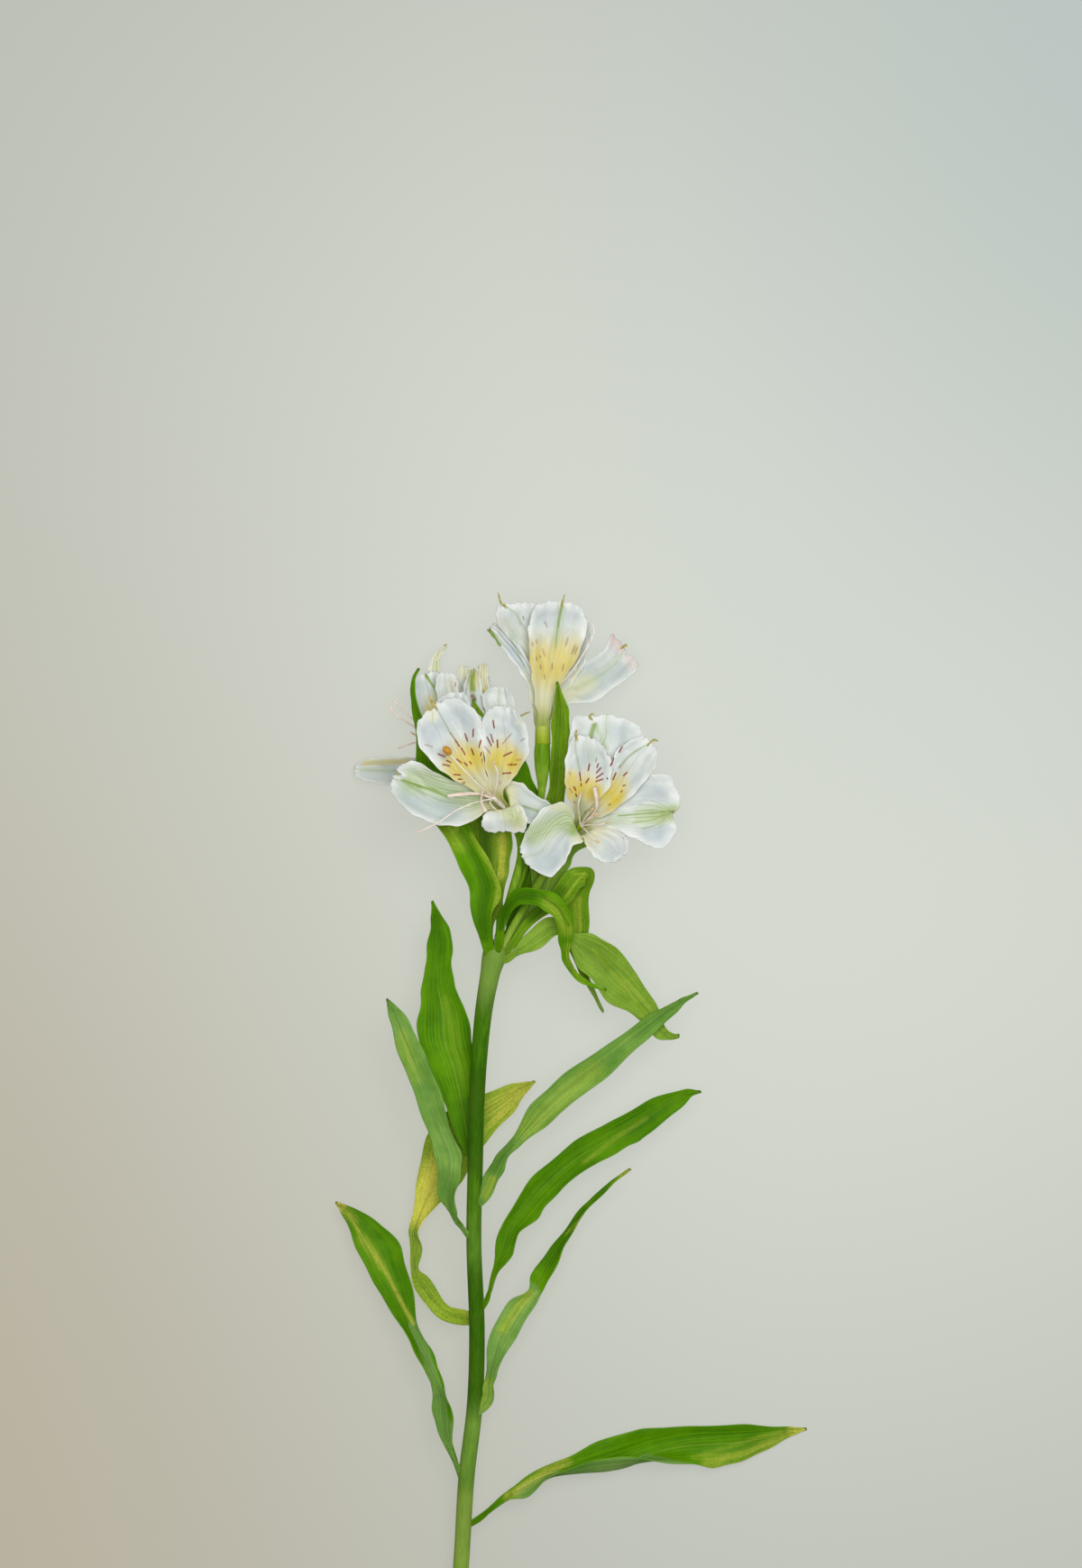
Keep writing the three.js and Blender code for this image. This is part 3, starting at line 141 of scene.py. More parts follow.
BRACTS = {
    "bract_left": [
        [-3.2, -2.5, -0.4, -3, 40.5], [-5.5, 5, -0.8, 6, 43, 1, 0.6],
        [-8.5, 15, -0.6, 14.5, 43.5, 2, 1.4], [-10, 25, 2.3, 22, 43, 1, 2],
        [-13, 32.5, -0.8, 31.5, 42, 0, 2.4], [-17.5, 41, -6, 40.5, 41, 0, 2.4],
        [-22, 49, -11, 49.5, 39.5, 0, 2.2], [-26, 58.5, -15.5, 60, 37.5, 0, 1.8],
        [-28.7, 69.5, -19.5, 70, 36, 1, 1.4], [-29, 78, -22.6, 79.5, 35.5, 3, 1],
        [-29.6, 86, -26.8, 87.5, 35.5, 4, 0.6], [-31, 95, -29.4, 95.5, 35.5, 3, 0.3],
        [-30, 101, -29.2, 100.6, 36, 1], [-28.2, 104.4, -27.8, 103.8, 36],
    ],
    "bract_back_left": [
        [-3.2, -1.8, -0.8, -1.8, 35.6], [-5.4, 9, 0, 9, 33, 0, 0.6], [-6, 22, 3, 20, 30, 0, 1.4],
        [-9, 34, 5.6, 32, 29, 0, 2], [-10.2, 45, 6.6, 44, 29, 0, 2],
        [-8.2, 58, 5, 58, 29.5, 0, 1.8], [-8.2, 70, 1, 71, 30, 0, 1.4],
        [-8.4, 82, -2.2, 84, 30.5, 0, 0.8], [-8, 92.6, -7.4, 92.4, 31],
    ],
    "bract_back": [
        [2.4, 1.8, 4, 1.2, 34.8], [5.2, 11, 8.8, 10.5, 30.2, 0, 0.5],
        [7.5, 25, 12.6, 24.5, 28.5, 0, 1], [8.8, 40, 15.6, 40, 29, 0, 1.4],
        [8.4, 53, 16.3, 54.5, 30.5, 0, 1.5], [6, 64, 13.6, 65, 32, 0, 1.2],
        [3.5, 74, 8.5, 76, 33, 0, 0.8], [1.5, 83.5, 2.2, 83.9, 34],
    ],
    "bract_upright": [
        [0.2, 0.4, 2.6, -0.4, 33.9], [6.5, 13, 9.5, 12, 27, 0, 0.5], [11.5, 27, 16, 25.5, 25, 0, 1],
        [16, 41, 21, 40, 26.5, 0, 1], [19, 53, 25, 52, 31, 0, 1.2],
        [20.7, 64, 27, 63.5, 37.5, 0, 1.3], [20.9, 74, 27.4, 74.5, 43, 0, 1.3],
        [21.2, 83, 27.6, 82.5, 46.5, 0, 1.2], [22.2, 91.5, 26.6, 90.5, 48.5, 0, 0.8],
        [23, 99, 23.6, 98.9, 49.5],
    ],
    "bract_right_wavy": [
        [3.6, 1.2, 4.9, -0.4, 37], [8.6, 13, 13.2, 10, 32.4, 0, 0.6],
        [13.8, 22.5, 21.5, 20.5, 31, 0, 1.2], [13.6, 31, 27.2, 30.5, 30.5, 0, 1.6],
        [20, 40.5, 31, 37.2, 30, 0, 1.4], [27, 45, 36.5, 40, 30, 0, 1],
        [36, 46, 42, 42, 29, 0, 0.6], [47, 46.5, 47.6, 45.8, 28.5],
    ],
    "bract_folded": [
        [3.2, -0.8, 4.4, -2.2, 38.6], [9.5, 9.5, 11.8, 7.2, 36.4, 0, 0.5],
        [17, 17.5, 20.4, 14.2, 36.5, 0, 1], [23, 24.5, 28, 18.5, 38, 0, 1.2],
        [28.5, 30.6, 31.8, 23.8, 38.5, 0, 1.2], [35.2, 31, 33.6, 24, 37, 0, 1],
        [36.8, 26, 31.4, 23.4, 33.5, 0, 0.8], [34.6, 20, 26.4, 18, 30, 0, 1],
        [35.4, 11, 26, 10, 27.5, 0, 1.4], [34.8, 1, 27.4, 2, 25.5, 0, 1.2],
        [34.5, -7, 30.8, -6, 24, 0, 0.8], [37.2, -14.5, 35.2, -13.8, 23, 0, 0.3],
        [40.5, -22, 39.9, -22.4, 22],
    ],
    "bract_curled": [
        [0.2, 0, 2.4, -0.4, 41.6], [0.8, 7, 3.8, 7, 45.4, 0, 0.3], [1.8, 14, 5.2, 13, 48, 2, 0.6],
        [5, 20.2, 7, 16.2, 51, 2, 0.8], [11, 23.6, 11.5, 17.8, 53, 1, 1],
        [19, 22.5, 17, 16.5, 53.5, 0, 1.2], [25.4, 18.6, 21.4, 13.2, 53, 0, 1.4],
        [29, 12, 23.8, 8, 51.5, 0, 1.3], [29.2, 5, 24.4, 2, 49, 0, 1.1],
        [28, -1.5, 25.6, -3, 47, 1, 0.6], [30.5, -7.2, 29, -8.4, 45.5, 0, 0.3],
        [35.6, -11.3, 35, -12.4, 44.2, 0, 0.1], [41, -13.6, 40.8, -14.1, 43.5],
    ],
    "bract_drooping": [
        [2.9, -2.4, 3.2, -5, 40.2], [6.8, 0.3, 7.8, -2, 41.4, 0, 0.4],
        [10.5, 5, 12.5, -0.4, 42.5, 1, 1], [15.5, 10.4, 18.2, 2.8, 43, 1, 1.5],
        [22.5, 12.2, 23.6, 6.2, 43, 0, 1], [28.6, 7.6, 27.4, 2.8, 41.5, 0, 0.8],
        [36, 5.9, 31.5, -6, 38.5, 0, 1.8], [42, 3.4, 36.5, -11, 35.5, 0, 2.2],
        [48.5, -2.4, 42, -18, 32.5, 0, 2.2], [54, -10, 49.5, -22.4, 29.5, 0, 2],
        [59.3, -18.6, 54.8, -26, 27, 0, 1.4], [63, -27, 59.5, -31.2, 26, 0, 0.8],
        [65.5, -30.3, 64.5, -32.6, 26.5, 0, 0.3], [68.3, -30.6, 68, -32.2, 28],
    ],
}

# Blooms. stalk, heart and stamens are limbs; petals are blades. The heart is the solid base that
# the petals share, from the ovary outwards. The first stamen limb is the column that the filaments
# leave.
BLOOMS = {
    "right": {
        "stalk": [
            [2.8, 1.4, 38.8, 1.4], [8, 11, 38.4, 1.4], [14, 21, 36.6, 1.5], [19, 30, 33.8, 1.7],
            [21.6, 34.3, 33, 3], [23.6, 37, 34.8, 3.1], [24.8, 38.6, 36.8, 2.4],
        ],
        "heart": [
            [25, 38.9, 37.2, 2.2], [27.2, 41.3, 40.5, 2.1], [29.2, 43.5, 43.5, 1.8],
        ],
        "petals": {
            "inner_left": [
                [25.2, 39.6, 26.6, 40, 39], [29.6, 49, 32, 50, 47.6, 0, 0.4],
                [28, 55.5, 36, 54, 54, 0, 1.5], [26.2, 63, 42, 60, 58, 0, 2.5],
                [26.2, 71, 43.2, 69, 59.5, 0, 2.5], [28.6, 79, 40, 76, 59, 0, 1.5, 2],
            ],
            "inner_right": [
                [26.4, 39.8, 27.4, 39, 39], [33, 49.8, 35, 48, 47.6, 0, 0.4],
                [36, 55.5, 41.5, 50.5, 53.5, 0, 1.5], [40.5, 64, 50, 57, 57, 0, 2.2],
                [45.5, 74.5, 57.5, 65.5, 58, 0, 2.2], [54, 80, 60.3, 72.5, 57.5, 0, 1.2, 1.2],
            ],
            "outer_top": [
                [25.2, 39.8, 26.6, 39.6, 38.2], [30.2, 49.8, 33.6, 50, 46, 0, 0.4],
                [28.4, 59, 38, 57, 50.5, 0, 1], [27, 70, 46, 66, 53, 0, 2],
                [28, 80, 53.5, 77, 53, 0, 2.5], [29, 86.5, 54, 83, 52, 0, 1.5, 3],
            ],
            "outer_right": [
                [26.4, 39.4, 26.8, 38, 38.6], [34.6, 48.6, 34.8, 45, 47.4, 0, 0.5],
                [40, 53.6, 41.5, 46, 51, 0, 1.5], [48, 59.3, 48.5, 43.4, 53.5, 0, 2.5],
                [57.5, 65, 57, 39.3, 54, 0, 3], [64.5, 65.5, 62.5, 38, 53.5, 0, 2, 5.5],
            ],
            "inner_low": [
                [26.4, 38.6, 25.6, 37.4, 38.4], [35.4, 45, 32, 42.6, 48.8, 0, 0.4],
                [41, 46.4, 34, 39, 51.8, 0, 1], [46.5, 45, 36.6, 35.4, 52.4, 0, 1.8],
                [49.6, 40.5, 40, 33.2, 51.2, 0, 1.8], [48.6, 36, 43.5, 33, 50, 0, 1, 1],
            ],
            "outer_left": [
                [25.4, 37.6, 24.8, 39, 38.6], [33.2, 40.6, 28.8, 48.6, 48.2, 0, 0.6],
                [28.8, 38.6, 26.2, 54.8, 51.4, 0, 2], [25.8, 32.5, 18.5, 53, 51.4, 0, 2.5],
                [20.8, 27.6, 13, 46, 50.4, 0, 2], [14, 30.8, 9.8, 39.2, 49.6, 0, 1, 1.5],
            ],
        },
        "stamens": [
            [[29.5, 43.8, 43.95, 0.8], [32.2, 46.8, 48.2, 0.8]],
            [[31.8, 46.4, 47.6, 0.4], [34, 50, 53, 0.35], [35.6, 51.8, 56, 0.9], [36.4, 52.8, 57, 0.5]],
            [[31.8, 46.4, 47.6, 0.4], [34.6, 48.8, 54, 0.35], [37.6, 52.6, 58.4, 0.4],
             [37.6, 57, 60.4, 0.8], [36.9, 60.6, 61.2, 0.8]],
            [[31.8, 46.4, 47.6, 0.4], [34.5, 48.5, 53, 0.35], [37, 50.2, 56.5, 0.9], [38, 51, 57.2, 0.5]],
            [[31.8, 46.4, 47.6, 0.4], [31.4, 50.4, 53, 0.35], [31, 54, 58, 0.35], [32, 58.5, 60.5, 0.8]],
            [
                [31.8, 46.4, 47.6, 0.4], [35, 46.8, 52.5, 0.35], [38.5, 46.8, 56, 0.35],
                [41.5, 47.6, 57.5, 0.8],
            ],
            [
                [31.8, 46.4, 47.6, 0.4], [33.8, 44.8, 53, 0.35], [35.6, 42.4, 57, 0.35],
                [38, 40.8, 58.5, 0.8],
            ],
        ],
    },
    "front": {
        "stalk": [
            [1.2, 2.8, 40.8, 1.4], [3, 10, 41.8, 1.4], [6.6, 22, 41.6, 1.5], [10, 34, 38.8, 1.7],
            [11.2, 41, 37, 3], [10, 45.6, 38, 3.1], [8.8, 48.2, 40.6, 2.4],
        ],
        "heart": [
            [8.4, 48.6, 41.4, 2.2], [6.2, 50.7, 45, 2.1], [4.4, 52.4, 48, 1.8],
        ],
        "petals": {
            "inner_left": [
                [6.6, 50, 7.6, 51.2, 43], [-1.6, 56, 1.2, 58.4, 53, 0, 0.5],
                [-11, 61.5, -3, 66, 58, 0, 1.8], [-20.5, 67.8, -4, 77, 61, 0, 3],
                [-27.5, 76, -5.5, 86.5, 62, 0, 3], [-28.3, 84, -13, 93.5, 61.5, 0, 1.8, 2.5],
            ],
            "inner_right": [
                [7, 51, 8.4, 50.4, 43], [-0.6, 58, 3, 58, 53, 0, 0.5],
                [-2.4, 65, 6.8, 63.5, 58, 0, 1.6], [-3.8, 75, 12.3, 72.5, 60.5, 0, 2.6],
                [-4.8, 83.5, 12.2, 81, 61, 0, 2.4], [-2.4, 88.8, 8.6, 88.2, 60, 0, 1.4, 2.4],
            ],
            "outer_top": [
                [6.4, 49.6, 7.8, 51, 42.4], [-2.5, 57, 0.5, 59.5, 50, 0, 0.5],
                [-12, 66, -2, 70, 53, 0, 1.5], [-21, 80, -3.5, 84, 55, 0, 2.5],
                [-23, 88.5, -8.5, 90, 55, 0, 2], [-19.5, 93.6, -9.5, 93.4, 54, 0, 1.2, 2.8],
            ],
            "outer_left": [
                [6.4, 48.6, 6.2, 50.4, 42.6], [-1.5, 52, -1.5, 58.5, 51, 0, 1],
                [-10, 47.2, -8, 61.2, 54, 0, 2], [-21, 47, -18.5, 64.3, 55, 0, 2.5],
                [-30.5, 51, -28.2, 69.8, 54.5, 0, 2.5], [-38, 58.5, -34, 69, 54, 0, 1, 1.5],
            ],
            "inner_low": [
                [8, 48.4, 7, 48, 42.6], [4.4, 51.2, -0.2, 50.2, 53.5, 0, 0.4],
                [9.2, 54, -2.4, 51.8, 56.6, 0, 0.8], [12.4, 49.5, -4.4, 48, 57.4, 0, 0.8],
                [11.4, 44.2, -3.2, 44.6, 55, 0, 0.6, 0.5],
            ],
            "outer_right": [
                [8.4, 50.4, 9, 48.8, 43], [3.6, 61.4, 6, 52.4, 50.5, 0, 0.8],
                [9.4, 62.4, 10.2, 48.6, 51.6, 0, 2.6], [14.4, 58.3, 14.5, 46.6, 48, 0, 2.6],
                [19.5, 55.4, 19, 46, 44.2, 0, 1.6], [23.5, 53, 22, 46.6, 42, 0, 1, 1],
            ],
        },
        "stamens": [
            [[4.1, 52.75, 48.5, 0.8], [-0.5, 57, 56, 0.8]],
            [[0, 56.5, 55.2, 0.5], [-6, 58.2, 60, 0.5], [-12, 58, 63, 0.9], [-17, 57.4, 65, 0.6]],
            [
                [0, 56.5, 55.2, 0.4], [-7, 55, 60, 0.35], [-14, 52, 63, 0.35],
                [-20.5, 47.6, 64, 0.35], [-28.3, 43.8, 64, 0.4],
            ],
            [
                [0, 56.5, 55.2, 0.4], [-6, 62, 61.5, 0.35], [-12, 68, 65, 0.35],
                [-16.2, 73, 66.5, 1.5], [-18, 75, 67, 0.9],
            ],
            [[0, 56.5, 55.2, 0.4], [-3.6, 59.6, 61, 0.35], [-4.6, 55.6, 64, 0.35], [-3, 51.6, 65.5, 0.8]],
            [[0, 56.5, 55.2, 0.4], [0.8, 60.5, 61, 0.35], [1.4, 65.5, 64, 0.35], [0, 69.5, 65.5, 0.8]],
            [[0, 56.5, 55.2, 0.4], [-1.4, 55, 61, 0.35], [0.8, 52.2, 64, 0.8]],
        ],
    },
    "top": {
        "stalk": [
            [1.2, 5.2, 38.4, 1.2], [5.6, 16, 36.4, 1.4], [11.6, 32, 33.6, 1.4],
            [16, 48, 34.6, 1.45], [17.6, 60, 36.4, 1.5], [17.8, 67, 37.2, 2.7],
            [17.8, 73, 37.6, 3.1], [17.9, 77, 37.8, 2.8],
        ],
        "heart": [
            [18, 77.8, 37.8, 2.9], [18, 82, 37.9, 2.8], [18.1, 86, 38, 2.5],
        ],
        "petals": {
            "inner_left": [
                [16, 79, 17, 79, 37.2, -0.6], [14.6, 88, 16.6, 88, 36.6, -1.6, 0.3],
                [13.5, 100, 21, 100, 34.6, 0, 1.5], [8.5, 111, 21, 112.5, 36, 0, 1.8],
                [1.5, 120.5, 18.5, 122.5, 38.4, 0, 1.6], [0.7, 127, 15.5, 128.4, 39, 0, 1, 0.8],
            ],
            "outer_top": [
                [17, 79, 19, 79, 39.2], [15.9, 87.5, 20.4, 87.5, 40.8, 0, -0.6],
                [14.6, 97, 23.6, 96.6, 42.6, 0, -1.4], [13.2, 108, 30, 107.6, 44, 0, -1.6],
                [12.6, 119.5, 34, 118.5, 43, 0, -0.6], [15, 127.8, 32.3, 127, 41, 0, 0.6, 2.2],
            ],
            "outer_right": [
                [19.6, 79.6, 20, 78.6, 38], [20.8, 88.8, 21.8, 87.4, 38.2, 0, 0.3],
                [24.5, 100.5, 28.5, 91.5, 35.6, 0, 1.2], [29.6, 104.6, 37, 92.6, 31, 0, 2],
                [39.5, 110.5, 49.5, 101.5, 23, 0, 2], [43.6, 117.8, 53.5, 106, 20, 0, 1, 0.5],
            ],
            "outer_left": [
                [16.2, 79, 17, 79.6, 38.6, 0.6], [14.6, 88.5, 16.2, 89.5, 39.6, 1.4, 0.2],
                [11.8, 99.7, 15.8, 101, 40, 1.5, 0.8], [5.8, 108.4, 10.2, 111, 39, 2, 1],
                [1.4, 113.4, 5, 117, 37, 2, 0.8], [-2.6, 118.6, 0.3, 121.3, 35.5, 1, 0.4],
            ],
            "inner_low": [
                [17, 79, 19, 79, 36.4], [16.4, 88, 20.2, 88, 35.2, 0, 0.4],
                [16, 100, 25, 100, 30, 0, 1.5], [15.4, 110, 29, 110, 26.6, 0, 2],
                [17, 118, 27.5, 117.6, 25, 0, 1, 1.4],
            ],
            "inner_right": [
                [19, 79, 20, 79, 37.2, 0.6], [19.8, 88, 21.6, 88, 36.4, 1.6, 0.3],
                [20.6, 99, 27.5, 97, 33.5, 0, 1.2], [23.5, 109, 32.8, 105.5, 30.5, 0, 2],
                [26.5, 118, 35.5, 114.5, 28.5, 0, 2], [29.5, 124.5, 35, 122, 27.5, 0, 1, 1.2],
            ],
        },
        "stamens": [
            [[18.1, 86.4, 38, 0.8], [19, 95, 38.6, 0.8]],
            [
                [19, 94, 38.5, 0.4], [24.5, 98.5, 40, 0.35], [29.5, 104.5, 39, 0.35],
                [33.6, 111, 38, 0.35], [36.8, 117.5, 37, 0.35], [36.2, 121.6, 36.6, 0.45],
            ],
            [[19, 94, 38.5, 0.4], [19.5, 101, 38.5, 0.35], [20.5, 106.5, 39.5, 0.8]],
            [[19, 94, 38.5, 0.4], [17.8, 101, 38, 0.35], [16.6, 107, 38, 0.8]],
            [[19, 94, 38.5, 0.4], [22, 101, 37.2, 0.35], [25, 106.5, 37, 0.8]],
            [[19, 94, 38.5, 0.4], [20.8, 99.5, 37.5, 0.35], [22.6, 104.5, 38.5, 0.8]],
        ],
    },
    "back_left": {
        "stalk": [
            [-1.4, 2.6, 38.8, 1.4], [-5, 14, 38, 1.4], [-8.8, 32, 36, 1.4], [-12, 50, 32, 1.5],
            [-13.8, 60, 28.4, 2.8], [-14.8, 65, 26.4, 3.1], [-15.6, 69, 24.8, 2.4],
        ],
        "heart": [
            [-15.8, 69.7, 24.4, 2.2], [-17, 72.5, 23.4, 2.1], [-18, 74.6, 22.8, 1.8],
        ],
        "petals": {
            "outer_left": [
                [-17, 70.4, -17, 72, 24], [-22, 67.5, -22.5, 72.5, 22, 0, 0.6],
                [-30, 63, -30.5, 71.5, 18, 0, 1.5], [-40, 61.6, -40, 71.8, 12, 0, 2],
                [-48, 63, -48, 71, 7, 0, 1.6], [-51.5, 65.5, -51.5, 69.2, 5, 0, 0.5, 0.8],
            ],
            "inner_left": [
                [-17.2, 71.2, -16, 72, 24.4], [-20, 77, -16.5, 78.5, 24.4, 0, 0.4],
                [-25.5, 84, -17.5, 87, 23.4, 0, 1.2], [-30, 94, -18.5, 97, 21, 0, 2],
                [-30, 101, -21, 103.5, 20, 0, 1.4, 1],
            ],
            "inner_right": [
                [-16.4, 71.8, -15.2, 71.6, 24], [-16.6, 78, -13.6, 78, 24.5, 0, 0.6],
                [-19, 87, -12.4, 87, 25, 0, 1.5], [-21.5, 96, -13.4, 96, 25, 0, 1.6],
                [-21.5, 102.6, -14.2, 102, 24.5, 0, 1, 0.8],
            ],
            "outer_top": [
                [-16.6, 71.2, -15.4, 72, 23], [-19, 79, -15.6, 79.6, 18.4, 0, 0.4],
                [-22.4, 92, -17.6, 93, 16.5, 0, 0.8], [-24.6, 103, -20.5, 103.5, 15.8, 0, 0.6],
                [-22.5, 109.5, -19.5, 110.5, 15.5, 0, 0.3], [-18.6, 112.8, -17.8, 112.4, 15.5],
            ],
            "inner_low": [
                [-16.8, 71.8, -16, 70.6, 23.2], [-21, 69, -17, 65, 17, 0, 0.5],
                [-26, 68, -20, 60, 11, 0, 1], [-31, 66, -24, 56, 5, 0, 1],
                [-34, 63, -28, 57, 0.85, 0, 0.3, 1],
            ],
            "outer_low": [
                [-17.2, 71.4, -16.2, 72.2, 22.8], [-22, 73, -18, 76, 18, 0, 0.5],
                [-27, 77, -21, 83, 12, 0, 1.5], [-28.5, 82, -19, 88, 6, 0, 1.2],
                [-27.5, 88, -20, 92, 1.6, 0, 0.6, 1],
            ],
        },
        "stamens": [
            [[-18.2, 75, 22.6, 0.8], [-21.5, 79.5, 19.8, 0.8]],
            [
                [-21, 79, 20.2, 0.4], [-26.5, 83, 19.5, 0.35], [-31.5, 87, 19.5, 0.35],
                [-36.2, 91.8, 19.5, 0.35], [-37.5, 92.5, 19, 0.35],
            ],
            [
                [-21, 79, 20.2, 0.4], [-27, 81.6, 18.4, 0.35], [-33, 85.2, 18.2, 0.35],
                [-37.8, 88.8, 18.2, 0.35], [-38.2, 91.4, 18.2, 0.4],
            ],
            [
                [-21, 79, 20.2, 0.4], [-25.5, 80, 17.5, 0.35], [-28.6, 79.6, 17, 0.7],
                [-31.2, 81.2, 17, 0.6],
            ],
            [[-21, 79, 20.2, 0.4], [-25, 78, 17, 0.35], [-30, 77, 16.4, 0.35], [-35.6, 75, 16, 0.4]],
        ],
    },
    "back": {
        "stalk": [
            [0.9, 3, 35.2, 1.1], [1.9, 9.5, 30.4, 1.2], [1.8, 20, 25.2, 1.4], [1, 34, 21.2, 1.4],
            [-0.4, 48, 19.8, 1.5], [-1.4, 59, 20.2, 2.7], [-2, 66, 21, 3], [-2.6, 70.6, 21.6, 2.3],
        ],
        "heart": [
            [-2.7, 71.4, 21.8, 2.1], [-3, 74, 22, 2], [-3.2, 76, 22.2, 1.7],
        ],
        "petals": {
            "outer_top": [
                [-3.6, 72.6, -2.2, 72.6, 23.2], [-6.5, 80, -2, 80, 24.4, 0, -0.5],
                [-10.5, 90, -4, 90, 25, 0, -1], [-11.5, 97.5, -4.6, 97.5, 24.5, 0, -1],
                [-9.2, 103.3, -6.4, 103.3, 24, 0, -0.3, 0.6],
            ],
            "inner_left": [
                [-4.2, 72.6, -3.4, 72.8, 21.6], [-8, 80, -4.8, 80.5, 19.6, 0, 0.6],
                [-12, 90, -6, 91, 17.6, 0, 1.2], [-13.6, 99, -7.5, 100, 17, 0, 1.2],
                [-13.2, 105.5, -9, 104.5, 16.5, 0, 0.6, 0.4],
            ],
            "inner_right": [
                [-2.6, 72.6, -1.4, 72.6, 21.6], [-3.4, 81, 0.4, 80.5, 19.2, 0, 0.6],
                [-5.6, 92, 0.5, 91, 17.4, 0, 1.2], [-7, 100, -2.5, 99.5, 17, 0, 1],
                [-6, 105.5, -2.6, 106, 16.5, 0, 0.4, 0.5],
            ],
            "outer_right": [
                [-2.4, 72.8, -1.4, 72.6, 23], [-1.2, 80, 2.8, 79, 25, 0, 0.6],
                [-3.2, 88.5, 6.5, 86, 27, 0, 1.2], [-4.5, 94, 7.6, 91, 27.5, 0, 1.4],
                [-2, 97.2, 5.5, 96.8, 27, 0, 1, 1],
            ],
            "outer_low": [
                [-3.4, 72.6, -2.2, 72.6, 20.8], [-6, 80, -0.5, 80, 16.6, 0, 0.6],
                [-9, 89, 0.5, 89, 12.5, 0, 1.4], [-9.5, 97, -0.5, 97, 10, 0, 1.2],
                [-7, 101.5, -2, 101.5, 9.5, 0, 0.5, 0.8],
            ],
            "inner_low": [
                [-2.2, 72.6, -1.4, 73, 21.2], [-0.4, 80.5, 3.8, 79.5, 17.5, 0, 0.5],
                [1, 88, 7.5, 86.5, 13.5, 0, 1.4], [1.5, 93, 7.2, 91, 11.5, 0, 1, 0.8],
            ],
        },
        "stamens": [
            [[-3.25, 76.4, 22.2, 0.8], [-4.2, 86, 21.2, 0.8]],
            [[-4.1, 85, 21.3, 0.4], [-6, 91, 21, 0.35], [-7, 95, 21, 0.8]],
            [[-4.1, 85, 21.3, 0.4], [-3, 91, 21, 0.35], [-2, 95.5, 21, 0.8]],
            [[-4.1, 85, 21.3, 0.4], [-4.6, 92, 20.6, 0.35], [-5, 98, 20.4, 0.8]],
        ],
    },
}

# ---------------------------------------------------------------- where the tables lie in the frame

CUT_DEPTH = 0.0005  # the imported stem's corners this near its low end are those of the cut


def cut_middle():
    """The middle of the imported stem's cut end, in metres."""
    low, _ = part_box("stem")
    corners = {
        tuple(round(c, 6) for c in v.co)
        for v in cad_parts["stem"].data.vertices
        if v.co.y < low.y + CUT_DEPTH
    }
    return sum((Vector(c) for c in corners), Vector()) / len(corners)


SHIFT = cut_middle() / MM - Vector(STEM[0][:3])  # from the tables to the row frame, millimetres


# ---------------------------------------------------------------- lines and surfaces


def smooth_line(points):
    """A Catmull-Rom line through the points: t, 0 to 1, gives the place and the slope there."""
    spans = len(points) - 1
    before = points[0] * 2 - points[1]
    after = points[-1] * 2 - points[-2]
    knots = [before, *points, after]

    def at(t):
        place = min(max(t, 0.0), 1.0) * spans
        k = min(int(place), spans - 1)
        w = place - k
        p0, p1, p2, p3 = knots[k : k + 4]
        m1, m2 = (p2 - p0) / 2, (p3 - p1) / 2
        a = p1 * 2 - p2 * 2 + m1 + m2
        b = p2 * 3 - p1 * 3 - m1 * 2 - m2
        return p1 + (m1 + (b + a * w) * w) * w, m1 + (b * 2 + a * 3 * w) * w

    return at


def smooth_step(value, start, end):
    """0 before start, 1 after end, and smooth between; start may be above end."""
    t = min(max((value - start) / (end - start), 0.0), 1.0)
    return t * t * (3 - 2 * t)


def from_line(x, y, points):
    """The distance in plan from a place to a line of [x, y] points."""
    nearest = math.inf
    for (ax, ay), (bx, by) in zip(points, points[1:] if len(points) > 1 else points):
        dx, dy = bx - ax, by - ay
        size = dx * dx + dy * dy
        t = min(max(((x - ax) * dx + (y - ay) * dy) / size, 0.0), 1.0) if size else 0.0
        nearest = min(nearest, math.hypot(x - ax - t * dx, y - ay - t * dy))
    return nearest


TIP_SPOTS = [(u / 50, s / 10) for u in range(36, 49) for s in range(-8, 9)]  # where a hook may root
SAME_PLACE = 0.001  # corners nearer than this are one, millimetres
NIP_WIDTH = 0.16  # how much of a petal's half width the nip in its end takes
OVARY_FROM, OVARY_FULL = 1.9, 2.8  # a limb's lobes show where it is thicker than this, millimetres


class Blade:
    """The mid surface of one leaf, bract or petal."""

    def __init__(self, ribs):
        full = [list(rib) + [0] * (8 - len(rib)) for rib in ribs]
        self.left = smooth_line([Vector((r[0], r[1], r[4] - r[5] / 2)) for r in full])
        self.right = smooth_line([Vector((r[2], r[3], r[4] + r[5] / 2)) for r in full])
        self.bend = smooth_line([Vector((r[6], r[7], 0)) for r in full])
        self.spans = len(ribs) - 1
        self.rows = {}

    def row(self, u):
        """The edges, the way ahead, the way up, the cup and the bow at u, 0 at the root to 1."""
        key = round(u, 5)
        if key not in self.rows:
            (a, slope_a), (b, slope_b) = self.left(u), self.right(u)
            ahead = (slope_a.normalized() + slope_b.normalized()).normalized()
            up = (b - a).cross(ahead).normalized()
            bend, _ = self.bend(u)
            self.rows[key] = (a, b, ahead, up, bend.x, bend.y)
        return self.rows[key]

    def place(self, u, s):
        """The point of the mid surface at u along it and s across, -1 to 1."""
        a, b, ahead, up, cup, bow = self.row(u)
        hump = 1 - s * s
        return a.lerp(b, (1 + s) / 2) - up * cup * hump + ahead * bow * hump

    def near_tip(self, x, y):
        """The point by its tip, a little inside its margin, that is nearest to a place in plan."""
        spots = [self.place(u, s) for u, s in TIP_SPOTS]
        return min(spots, key=lambda spot: math.hypot(spot.x - x, spot.y - y))


